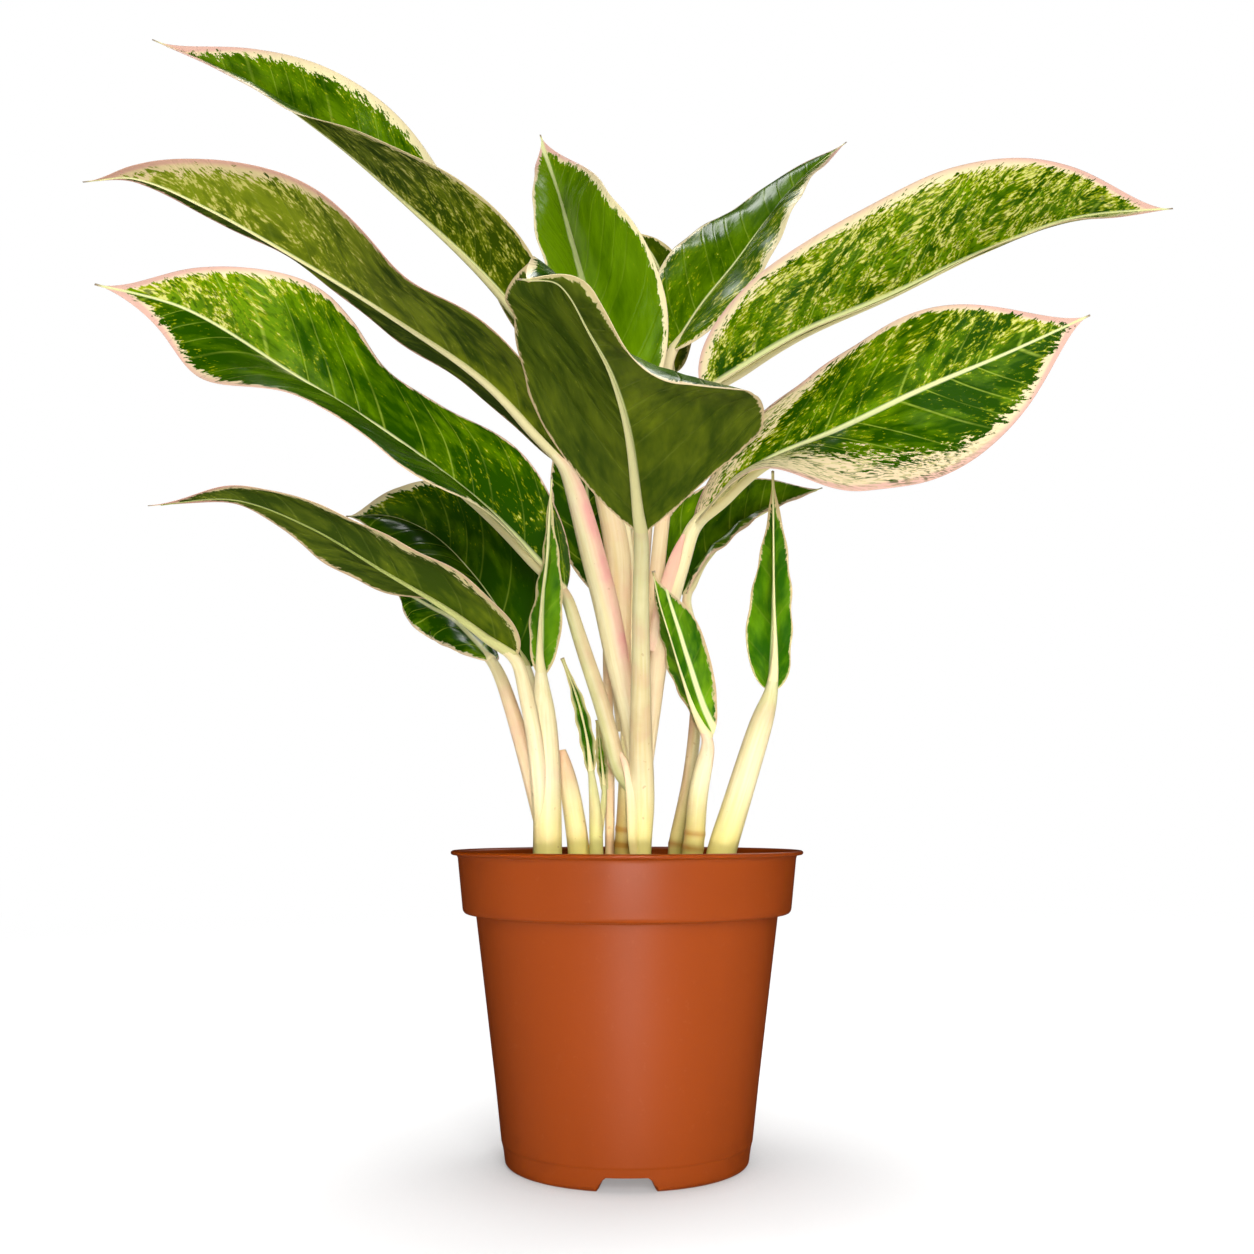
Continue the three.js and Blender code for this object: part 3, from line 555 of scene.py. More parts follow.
def midrib(leaf, t):
    """Centre and radius of the midrib bar: it sinks under the blade within the first tenth, and
    its radius falls from the stalk's to a bristle's as (1 - t) ** taper."""
    t = np.atleast_1d(t)
    _, ahead, near, across = rib_frame(leaf, np.clip(t, 0, 1))
    one, two = (
        across * np.cos(turn)[:, None] + near * np.sin(turn)[:, None]
        for turn in (np.radians(eased(leaf[key], t)) for key in ("one", "two"))
    )
    under = -np.cross(ahead, unit(one - two)) * leaf["up"]
    taper = leaf.get("taper", 4.5 if leaf.get("young") else 2.0)
    radius = (leaf["stalk_r"] - BRISTLE_R) * np.clip(1 - t, 0, 1) ** taper + BRISTLE_R
    radius = np.where(t < 0, leaf["stalk_r"], np.minimum(radius, leaf["stalk_r"]))
    sink = np.clip(t / 0.1, 0, 1)
    sink = sink * sink * (3 - 2 * sink)
    return along(leaf["rib"], t) + under * (radius * 0.72 * sink)[:, None], radius


def bar_tube(centre, radius, sides, deep=1.0):
    """Bar along centre points with a radius at each, flattened to the share deep from front to
    back, and closed at both ends. Also gives each point's place on the unrolled bar (r cos a,
    r sin a, length in mm) and cos a, which is 1 on the right and -1 on the left."""
    ahead = unit(np.gradient(centre, axis=0))
    side = np.zeros_like(centre)
    s = np.array([1.0, 0.0, 0.0])
    for i, direction in enumerate(ahead):
        s = s - (s @ direction) * direction
        s = s / np.linalg.norm(s)
        side[i] = s
    front = np.cross(ahead, side) * deep
    a = np.linspace(0, 2 * math.pi, sides, endpoint=False)
    right, back = radius[:, None] * np.cos(a), radius[:, None] * np.sin(a)
    ring = centre[:, None] + radius[:, None, None] * (
        side[:, None] * np.cos(a)[None, :, None] + front[:, None] * np.sin(a)[None, :, None]
    )
    length = np.concatenate([[0], np.cumsum(np.linalg.norm(np.diff(centre, axis=0), axis=1))])
    place = np.stack([right, back, np.repeat(length[:, None], sides, 1)], -1)
    j = np.arange(1, sides - 2, 2)
    start_cap = np.stack([0 * j, j + 2, j + 1, j], -1)
    end_cap = (len(centre) - 1) * sides + start_cap[:, [0, 3, 2, 1]]
    faces = np.concatenate([quads(len(centre), sides, True), start_cap, end_cap])
    return ring.reshape(-1, 3), faces, place.reshape(-1, 3), np.tile(np.cos(a), len(centre))


# Points of each midrib in mm from the stalk to the tip, and what the shape and looks are there.
# lean: 1 if the leaf points to the right, else -1. half and other: widths of its halves one and
# two. peak: share of the length where they are widest. up: which way its upper face turns.
# one and two: fold of each half in degrees from base to tip. wave: height, count and start of
# the margin's waves. Looks run from base to tip, and a pair gives them for half one and half two.
LEAVES = {
    "leaf_a_blade": dict(
        rib=[[-34, 5, 329], [-64, 14, 367], [-99, 22, 403], [-136, 27, 437], [-176, 32, 467],
             [-219, 32, 487]],
        lean=-1, half=29, peak=0.45, up=1, taper=3.2, one=[5, 12, 56, 86, 96, 95],
        two=[-110, -95, -48, -8, 0, 0], wave=[1.2, 2.6, 0.2], stalk_r=2.4,
        mottled=([1, 1], [0.8, 0.7]),
        cream=([1.2, 1.2, 1.6, 2.0, 2.5, 3], [1, 1.5, 3.2, 4.6, 3.8, 3.5]),
        flecks=([0.15, 0.6, 0.5, 0.15, 0.1], [0.05, 0.05, 0.25, 0.25, 0.1]),
        bright=([0.2, 0.25, 0.3, 0.35], [0.5, 0.55, 0.6, 0.6]),
        pink=[0.3, 0.25, 0.2, 0.25, 0.6, 2.5], rib_green=[0.3, 0.35, 0.2],
    ),
    "leaf_b_blade": dict(
        rib=[[-27, -5, 277], [-57, -13, 308], [-96, -20, 334], [-136, -27, 357], [-172, -32, 376],
             [-199, -33, 387], [-220, -32, 386]],
        lean=-1, half=35, peak=0.42, up=1, taper=2.8, one=[55, 53, 65, 32, 30, 60],
        two=[-100, -105, -100, -95, -99, -105], wave=[1.5, 2.2, 0.5], stalk_r=2.4,
        cream=([0.9, 0.9, 1.2, 3.5, 5.5, 5], [0.8, 0.8, 1, 1.2, 1.5]),
        flecks=([0.1, 0.2, 0.35, 0.6, 0.7, 0.6], [0.1, 0.1, 0.15]),
        bright=([0.5, 0.55, 0.75, 0.95, 1.0], [0.15, 0.1, 0.1]), pink=[0.5, 0.6, 0.8, 0.9, 1, 1.8],
        rib_green=[0.1, 0.1, 0.15],
    ),
    "leaf_c_blade": dict(
        rib=[[-25, -14, 221], [-54, -38, 248], [-88, -52, 273], [-125, -63, 295], [-162, -70, 317],
             [-196, -73, 326]],
        lean=-1, half=40, other=35, narrow=0.3, peak=0.45, up=-1,
        waist=([1, 0.9, 0.86, 0.8, 0.72, 0.66, 0.86, 1, 1, 1, 1], [1] * 3),
        one=[-35, -25, -42, -24, 0, -30], two=[92, 90, 98, 103, 148, 150], wave=[1.5, 2.4, 0.1],
        stalk_r=2.3, mottled=([0.9, 0.9], [0.6, 0.6]),
        cream=([0.9, 0.8, 0.8, 1.5, 3.0, 3.0], [40, 6, 0.8, 1.2, 2.8, 3]),
        flecks=([0.25, 0.4, 0.15, 0.25, 0.6, 0.8], [0.0, 0.0, 0.05, 0.15, 0.35]),
        bright=([0.1, 0.12, 0.12, 0.3, 0.9, 0.9], [0.15, 0.1, 0.0, 0.0, 0.05]),
        pink=([0.6, 0.6, 0.6, 0.7, 0.8, 2.0], [0, 0, 0.5, 0.7, 0.8, 2.0]),
        band=[2.6, 2.0, 1.3, 0.8, 0.4],
    ),
    "leaf_d_blade": dict(
        rib=[[-41, 2, 192], [-51, 6, 213], [-65, 10, 233], [-82, 14, 250], [-101, 18, 259],
             [-121, 22, 260]],
        lean=-1, half=30, other=18, peak=0.42, up=-1, waist=([1] * 3, [1, 1, 1, 1.1, 1.5, 2.4]),
        mottled=[0.55, 0.55], one=[-10, -12, -15, -10, -10, -10],
        two=[125, 130, 138, 142, 138, 135], wave=[1.5, 2.2, 0.4], stalk_r=2.2,
        cream=([0.8, 1.2, 2.2, 3, 3], [0.6, 0.6, 0.6]), flecks=([0.05, 0.1, 0.25, 0.4], [0, 0]),
        bright=[0, 0.05, 0.15], pink=[0.3, 0.2, 0.3], band=[0.6, 0.4, 0.3, 0.2],
        rib_green=[0.6, 0.9],
    ),
    "leaf_e_blade": dict(
        rib=[[-43, -32, 193], [-66, -43, 209], [-91, -52, 223], [-116, -61, 237], [-143, -68, 246],
             [-173, -71, 243]],
        lean=-1, half=26, peak=0.38, up=1, taper=3.4, mottled=[0.6, 0.6],
        one=[50, 56, 66, 66, 70, 80], two=[-90, -93, -106, -111, -98, -100], wave=[1.2, 2.0, 0.6],
        stalk_r=2.3, cream=([2.5, 4.5, 5.0, 3, 2], [1.2, 1.4, 1.6, 2]),
        flecks=[0.0, 0.05, 0.1, 0.2], bright=([0.1, 0.1, 0.1], [0.0, 0.15, 0.3, 0.3, 0.1]),
        pink=[0.4, 0.5, 0.5, 0.6, 1.8], rib_green=[0.6, 0.95, 0.95], band=[0.6, 0.4, 0.3, 0.2],
    ),
    "leaf_f_blade": dict(
        rib=[[-55, 0, 195], [-64, 11, 205], [-74, 21, 215], [-85, 33, 222], [-96, 45, 229],
             [-106, 58, 234]],
        lean=-1, half=13, other=12, peak=0.45, up=-1, one=[-60] * 6,
        two=[150, 160, 170, 175, 175, 170], wave=[1.2, 1.6, 0.3], stalk_r=2.2,
        cream=[0.8, 1.0, 1.0], flecks=[0.1, 0.1], bright=[0.15, 0.25], pink=[0.4, 0.4],
    ),
    "leaf_g_blade": dict(
        rib=[[5, -90, 228], [1, -130, 250], [-4, -165, 259], [-10, -195, 262], [-17, -222, 265],
             [-26, -240, 259]],
        lean=-1, half=43, other=40, wedge=0.3, mottled=[0.5, 0.5], peak=0.38, up=1,
        crown=(0.4, 2.0), taper=2.8, one=[0, 3, 16, 46, 72, 70],
        two=[-160, -148, -134, -116, -100, -105], wave=[1.5, 2.0, 0.2], stalk_r=2.5,
        cream=([0.8, 0.8, 0.9, 1.4, 2.5], [0.8, 0.8, 0.8, 1.4, 2.5]),
        flecks=([0, 0, 0, 0.05], [0, 0.05, 0.15, 0.15, 0]),
        bright=([0.35, 0.3, 0.3, 0.35], [0.3, 0.25, 0.2, 0.3]), pink=[0.4, 0.4, 0.35, 0.3, 0.15],
        rib_green=[0.38, 0.38, 0.42, 0.5, 0.1],
    ),
    # Leaf h: half two is painted brighter and its wide pale band is moved onto it, a painted
    # sheen.
    "leaf_h_blade": dict(
        rib=[[-8, 12, 298], [-12, 18, 329], [-17, 25, 360], [-24, 34, 390], [-32, 43, 420],
             [-41, 52, 451]],
        lean=-1, half=34, peak=0.36, up=-1, line=[-3.4, -5.0, -4.2, -2.2, -0.4],
        mottled=[0.4, 0.4], one=[10, 6, 22, 48, 28, 0],
        two=[112, 112, 115, 118, 120, 160], wave=[1.2, 1.8, 0.3], stalk_r=2.4,
        cream=([1.4, 2.0, 2.2, 2.6, 3.0], [0.8, 1.0, 1.2, 2.2]),
        flecks=([0, 0, 0.05, 0.1, 0.25], [0.1, 0.15, 0.2]),
        bright=([0.7, 0.7, 0.7, 0.65], [1.1, 1.1, 1.0]), pink=[0.3, 0.2, 0.15, 0.4, 1.8],
        band=[4.5, 6.2, 5.2, 2.9, 0.9],
    ),
    "leaf_i_blade": dict(
        rib=[[21, 62, 338], [20, 67, 356], [19, 73, 374], [17, 78, 391], [10, 83, 408],
             [-1, 88, 421]],
        lean=-1, half=14, peak=0.5, up=1, one=[-20] * 6, two=[-150] * 6, wave=[0.8, 1.5, 0.2],
        stalk_r=1.6, cream=[1.4, 1.4, 1.4], flecks=[0.1, 0.2], bright=[0.3, 0.3], pink=[0.2, 0.2],
    ),
    "leaf_j_blade": dict(
        rib=[[20, 36, 339], [34, 45, 364], [51, 55, 389], [68, 63, 415], [86, 70, 439],
             [108, 78, 461]],
        lean=1, half=30, peak=0.4, up=1, mottled=[0.5, 0.5], one=[-20, -20, -28, -50, -56, -60],
        two=[122, 120, 110, 98, 102, 110], wave=[1.2, 2.2, 0.7], stalk_r=2.3,
        cream=([1.6, 2.4, 2.0, 1.6, 1.4], [1.5, 3.0, 3.5, 3.0, 2]),
        flecks=([0.35, 0.25, 0.1, 0.05], [0.4, 0.5, 0.4, 0.3]),
        bright=([0.5, 0.45, 0.4], [0.5, 0.5, 0.5]), pink=[0.3, 0.2, 0.2, 1.2],
        band=[0.9, 0.7, 0.5, 0.3],
    ),
    "leaf_k_blade": dict(
        rib=[[33, 6, 310], [72, 11, 336], [114, 15, 356], [155, 18, 377], [198, 22, 395],
             [243, 22, 400]],
        lean=1, half=40, peak=0.5, up=1, taper=2.6, crown=(2.4, 0), loose=(1, 0.1),
        one=[-15, -18, -8, 0, 0, -20], two=[90, 90, 90, 90, 94, 104], wave=[1.2, 2.0, 0.4],
        stalk_r=2.4, cream=([5, 4.5, 4.5, 4, 3.5, 4], [10, 9, 8, 4]),
        flecks=([0.6, 0.66, 0.74, 0.74, 0.6], [0.6, 0.6, 0.6]),
        bright=([0.45, 0.55, 0.65, 0.55, 0.5], [0.3, 0.3]),
        pink=([0.8, 0.7, 0.6, 0.6, 1.0, 2.5], [0.1, 0.1, 0.2, 1.5]), band=[2.6, 2.2, 1.4, 0.8],
        rib_green=[0, 0, 0.2],
    ),
    "leaf_l_blade": dict(
        rib=[[28, -6, 251], [53, -16, 272], [85, -25, 285], [116, -32, 299], [149, -38, 312],
             [181, -42, 326]],
        lean=1, half=31, other=35, peak=0.52, up=1, one=[-60, -50, -34, -16, 0, 0],
        two=[90, 93, 138, 176, 178, 175], wave=[1.5, 2.3, 0.1], stalk_r=2.9,
        cream=([14, 13, 4, 2.2, 2.4, 4], [40, 24, 15, 7.5, 4.5, 4]),
        flecks=([0.7, 0.6, 0.45, 0.5, 0.55, 0.5], [0.7, 0.6, 0.35, 0.25, 0.3, 0.4]),
        bright=([0.5, 0.45, 0.4, 0.35, 0.35], [0.3, 0.15, 0.05, 0.0, 0.05]),
        pink=([1.5, 1.2, 0.8, 0.6, 0.9, 2.5], [0, 0.6, 1.5, 1.4, 0.9, 2.5]),
        band=[2.0, 1.7, 1.2, 0.7, 0.4],
    ),
    "leaf_m_blade": dict(
        rib=[[25, 20, 225], [34, 32, 243], [50, 44, 260], [70, 54, 273], [90, 60, 282]], lean=1,
        half=26, other=8, peak=0.42, up=1, one=[-10, -10, -15, -25, -30], two=[100] * 5,
        wave=[1, 1.8, 0.3], stalk_r=1.9, cream=[0.8, 0.9, 1.0], flecks=[0.05, 0.1],
        bright=[0.15, 0.4, 0.8], pink=[0.5, 0.5], mottled=[0.7, 0.7],
    ),
    "leaf_n_blade": dict(
        rib=[[-9, 28, 225], [-15, 42, 254], [-19, 54, 284], [-21, 64, 316], [-18, 70, 337]],
        lean=-1, half=18, peak=0.42, up=-1, one=[-10] * 5, two=[150] * 5, wave=[1, 1.8, 0.3],
        stalk_r=1.8, cream=[0.8, 0.9, 1.0], flecks=[0.05, 0.1], bright=[0.1, 0.15],
        pink=[0.4, 0.4],
    ),
    "young_1_blade": dict(
        rib=[[-34, -14, 186], [-34, -21, 201], [-33, -29, 216], [-31, -35, 232], [-30, -38, 248],
             [-29, -39, 262]],
        lean=-1, half=8.5, peak=0.33, up=1, young=True, one=[-40, -10, -20, -45, -60, -70],
        two=[-130, -126, -110, -102, -105, -110], wave=[0, 1, 0], stalk_r=2.6,
        cream=([0.6, 0.6, 0.6, 0.8, 4], [0.8, 0.7, 0.6, 0.9, 4]), mottled=[0.6, 0.6],
        flecks=[0.0, 0.0], bright=[0.55, 0.45, 0.4], pink=[0.3, 0.2, 0.0],
        rib_green=[0.1, 0.3, 0.1],
    ),
    "young_2_blade": dict(
        rib=[[-14, -10, 148], [-16, -10, 163], [-20, -10, 179], [-26, -10, 195]], lean=-1,
        half=3.4, peak=0.35, up=1, young=True, one=[-30, -30, -35, -40],
        two=[-150, -150, -145, -140], wave=[0, 1, 0], stalk_r=1.4, cream=[0.1, 0.1, 0.1],
        flecks=[0, 0], bright=[0.1, 0.1], pink=[0.1, 0.1],
    ),
    "young_3_blade": dict(
        rib=[[32, -20, 162], [26, -22, 174], [21, -24, 188], [17, -25, 201], [13, -26, 214],
             [10, -28, 227]],
        lean=-1, half=12.5, peak=0.5, up=1, young=True, line=[4, 4], one=[-25, -8, 0, 0, 0, -10],
        two=[-114, -105, -112, -108, -104, -110], wave=[0, 1, 0], stalk_r=2.2,
        cream=([1.2, 1.0, 0.9, 1.0], [0.8, 0.8, 0.8]), flecks=[0.05, 0.1], bright=[0.4, 0.5, 0.4],
        pink=[0.5, 0.4, 0.4], rib_green=[0.05, 0.2, 0.2],
    ),
    "young_4_blade": dict(
        rib=[[58, -8, 182], [59, -10, 200], [59, -12, 218], [59, -13, 235], [59, -14, 253],
             [59, -14, 271]],
        lean=-1, half=11.5, peak=0.28, up=1, young=True, one=[-30, -50, -50, -50, -48, -45],
        two=[-175, -180, -150, -130, -118, -115], wave=[0, 1, 0], stalk_r=2.6,
        cream=([0.5, 0.5, 0.6, 1.0, 2.5], [0.4, 0.5, 0.6, 1.0, 2.5]), mottled=[0.6, 0.6],
        flecks=[0.0, 0.05], bright=[0.3, 0.22, 0.2], pink=[0.1, 0.3, 0.3],
        rib_green=[0.05, 0.25, 0.2],
    ),
    "young_5_blade": dict(
        rib=[[-9, 1, 143], [-10, 2, 152], [-11, 2, 161], [-12, 2, 171]], lean=-1, half=2.4,
        peak=0.4, up=1, young=True, one=[-20, -20, -25, -30], two=[-160, -160, -155, -150],
        wave=[0, 1, 0], stalk_r=1.1, cream=[0.4, 0.4], flecks=[0, 0], bright=[0.4, 0.4],
        pink=[0.1, 0.1],
    ),
}


def cuticle(name, deep, fresh, lime, pale, under_deep, under_fresh, gloss):
    """Waxy leaf skin. Its pattern is read in mm off the leaf: across from the midrib, and along
    the side veins, which the flecks follow. Attributes give how much of each there is."""
    material, tree, shader = new_material(name)
    place = add(tree, "Attribute", attribute_name="skin").outputs["Vector"]
    mottled = add(tree, "Attribute", attribute_name="mottled").outputs["Fac"]
    vectors = (
        add(tree, "Attribute", attribute_name=key).outputs["Vector"]
        for key in ("skin", "margin", "tone", "rib")
    )
    skin, margin, tone, rib = (
        add(tree, "SeparateXYZ", {"Vector": vector}).outputs for vector in vectors
    )
    across = add(tree, "Math", [skin["X"]], operation="ABSOLUTE")

    # Mottling: clouds of 12 by 20 mm, groups of 5 by 7 mm, and flecks and spots of 1 by 2 mm.
    cloud, group, fleck, spot = (
        add(tree, "TexNoise", {
            "Vector": add(tree, "Mapping", {"Vector": place, "Scale": cells_a_mm}),
            "Scale": 1.0, "Detail": detail, "Roughness": roughness,
        }).outputs["Fac"]
        for cells_a_mm, detail, roughness in (
            ((0.08, 0.05, 0.53), 2, 0.5),
            ((0.22, 0.15, 0.71), 2, 0.5),
            ((0.95, 0.5, 0.37), 3, 0.6),
            ((0.9, 0.5, 0.91), 2, 0.5),
        )
    )

    # Ground: deep to fresh green.
    uneven = -2.55
    for noise, weight in ((cloud, 2.6), (group, 2.0), (fleck, 0.5)):
        uneven = add(tree, "Math", [noise, weight, uneven], operation="MULTIPLY_ADD")
    fresher = add(tree, "Math", [uneven, mottled, tone["Y"]], operation="MULTIPLY_ADD",
                  use_clamp=True)

    # Side veins: thin paler lines that fade towards the margin, and some sooner than others.
    off_vein = add(tree, "Math", [skin["Y"], VEIN_GAP / 2], operation="PINGPONG")
    line = add(tree, "MapRange", [off_vein, 0.15, 0.65, 1, 0])
    far = add(tree, "MapRange", [across, 4, 34, 0.75, 0.1])
    seen = add(tree, "MapRange", [cloud, 0.36, 0.56, 0.2, 1])
    faded = add(tree, "Math", [far, seen], operation="MULTIPLY")
    drawn = add(tree, "Math", [line, mottled], operation="MULTIPLY")
    vein = add(tree, "Math", [drawn, faded], operation="MULTIPLY")
    faint_vein = add(tree, "Math", [vein, 0.4], operation="MULTIPLY")

    # Flecks: the part of the fine mottling above a level, which falls where the leaf is paler.
    # Each has a lime edge and a pale heart. They gather in groups and towards a broad margin.
    gathered = add(tree, "MapRange", [group, 0.35, 0.65, 0.3, 1.5])
    amount = add(tree, "Math", [tone["X"], gathered], operation="MULTIPLY")
    from_rim = add(tree, "Math", [margin["X"], margin["Y"]], operation="SUBTRACT")
    near_rim = add(tree, "MapRange", [from_rim, 0.0, 9.0, 0.3, 0.0])
    rimmed = add(tree, "MapRange", [margin["Y"], 0.8, 2.5])
    amount = add(tree, "Math", [near_rim, rimmed, amount], operation="MULTIPLY_ADD")
    level = add(tree, "MapRange", [amount, 0, 1, 0.76, 0.40])
    over = add(tree, "Math", [fleck, level], operation="SUBTRACT")
    lime_part = add(tree, "MapRange", [over, -0.05, 0.03, 0, 0.85])
    pale_part = add(tree, "MapRange", [over, 0.06, 0.12])
    deep_part = add(tree, "MapRange", [spot, 0.53, 0.6])
    deep_part = add(tree, "Math", [deep_part, tone["X"]], operation="MULTIPLY")

    # Margin: where the distance to the edge is less than a ragged width, with green islands in
    # it where it is broad. It is pinker outwards.
    rag = add(tree, "Math", [group, 2.0, -1.5], operation="MULTIPLY_ADD")
    rag = add(tree, "Math", [fleck, 3.0, rag], operation="MULTIPLY_ADD")
    width = add(tree, "Math", [rag, margin["Y"]], operation="MULTIPLY")
    inside = add(tree, "Math", [width, margin["X"]], operation="SUBTRACT")
    cut = add(tree, "MapRange", [inside, -0.25, 0.25])
    island = add(tree, "MapRange", [spot, 0.48, 0.55])
    broad = add(tree, "MapRange", [margin["Y"], 5.0, 9.0])
    fewer = add(tree, "MapRange", [inside, 0.0, 16.0, 0.95, 0.2])
    islands = add(tree, "Math", [island, broad], operation="MULTIPLY")
    islands = add(tree, "Math", [islands, fewer], operation="MULTIPLY")
    kept = add(tree, "Math", [1.0, islands], operation="SUBTRACT")
    rim = add(tree, "Math", [cut, kept], operation="MULTIPLY")
    hem = add(tree, "MapRange", [margin["X"], 0.2, 0.6, 0.8, 0.0])
    pinker = add(tree, "MapRange", [margin["X"], 0.5, 3.0, 1.25, 0.3])
    blush = add(tree, "Math", [pinker, margin["Z"]], operation="MULTIPLY", use_clamp=True)
    upper_rim, lower_rim = (
        add(tree, "Mix", {"Factor": blush, 6: linear(cream), 7: linear(pink)}, data_type="RGBA")
        for cream, pink in (("#f3e9b2", "#dfb4a2"), ("#d2c88a", "#c79a85"))
    )

    # Both faces are built up from the ground outwards, one coat over the other.
    upper_coats = [(vein, linear("#a3b93c")), (lime_part, linear(lime)), (pale_part, linear(pale)),
                   (deep_part, linear(deep)), (rim, upper_rim), (hem, upper_rim)]
    lower_coats = [(faint_vein, linear("#8f9c3a")), (lime_part, linear("#868d1f")),
                   (pale_part, linear("#b7b25c")), (rim, lower_rim), (hem, lower_rim)]
    faces = []
    for dark, light, coats in (
        (deep, fresh, upper_coats), (under_deep, under_fresh, lower_coats),
    ):
        face = add(tree, "Mix", {"Factor": fresher, 6: linear(dark), 7: linear(light)},
                   data_type="RGBA")
        for part, colour in coats:
            face = add(tree, "Mix", {"Factor": part, 6: face, 7: colour}, data_type="RGBA")
        faces.append(face)

    # Midrib: a pale band over the blade, and the bar under it, greener or pinker at its foot. On
    # leaf h the band is widened and moved off the rib: a painted sheen. The very tip is dry.
    on_band = add(tree, "Math", [rib["X"], across], operation="SUBTRACT")
    softness = add(tree, "Math", [rib["X"], 0.4], operation="MULTIPLY")
    band = add(tree, "MapRange", [on_band, -0.2, softness])
    bar = linear("#f3e8b0")
    for part, colour in ((tone["Y"], "#96a44c"), (margin["Z"], "#dc9a86")):
        bar = add(tree, "Mix", {"Factor": part, 6: bar, 7: linear(colour)}, data_type="RGBA")
    skin_colour = faces[0]
    for part, colour in (
        (tone["Z"], faces[1]), (band, linear("#e3e6a4")), (rib["Y"], bar),
        (rib["Z"], linear("#a08f78")),
    ):
        skin_colour = add(tree, "Mix", {"Factor": part, 6: skin_colour, 7: colour},
                          data_type="RGBA")
    tree.links.new(skin_colour.outputs[2], shader.inputs["Base Color"])

    # The upper face is glossy, the under face dull. Both swell a little between the veins.
    dull = add(tree, "MapRange", [tone["Z"], 0, 1, gloss - 0.06, 0.44])
    less = add(tree, "MapRange", [tone["Z"], 0, 1, 0.25, 0.12])
    tree.links.new(less.outputs[0], shader.inputs["Specular IOR Level"])
    spread = add(tree, "Math", [group, 0.14, dull], operation="MULTIPLY_ADD")
    tree.links.new(spread.outputs[0], shader.inputs["Roughness"])
    height = add(tree, "MapRange", [off_vein, 0, 1.2, -0.5, 0.0])
    for noise, weight in ((group, 0.7), (spot, 0.25)):
        height = add(tree, "Math", [noise, weight, height], operation="MULTIPLY_ADD")
    relief = add(tree, "Bump", {"Height": height, "Strength": 0.5, "Distance": 0.0006})
    tree.links.new(relief.outputs["Normal"], shader.inputs["Normal"])
    shader.inputs["IOR"].default_value = 1.45
    return material


# Grown leaves: deep green under thick wax. The eye sees marbled green with cream, and soft
# streaks of light between the veins. Young leaves: fresher, with thinner and shinier wax.
grown = cuticle("waxy_grown_leaf", deep="#244a00", fresh="#678d02", lime="#9aa40e",
                pale="#d6d472", under_deep="#364a00", under_fresh="#72800a", gloss=0.22)
young = cuticle("waxy_young_leaf", deep="#285a01", fresh="#6d9d08", lime="#a2b424",
                pale="#dbe08a", under_deep="#285a01", under_fresh="#6d9d08", gloss=0.2)

for number, (name, leaf) in enumerate(LEAVES.items()):
    piece = make_blade(name.replace("_blade", "_leaf"), leaf, number)
    piece.data.materials.append(young if leaf.get("young") else grown)
    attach(piece, "root")
    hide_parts(name)


# ---------- leaf stalks ----------
# Fleshy cream stalks. Each is round where it carries the blade and widens downwards into a
# sheath that clasps the shoot's cane, with a thin free edge. The canes reach 34 mm down into the
# mix. Brown rings on them are the scars of fallen leaves.

FOOT_Z = 72.0  # lower end of the canes
STALK_STEP, STALK_SIDES = 0.9, 24  # distance of the rings of points, and points in a ring
REACH = 12  # rings to each side that the softening takes in

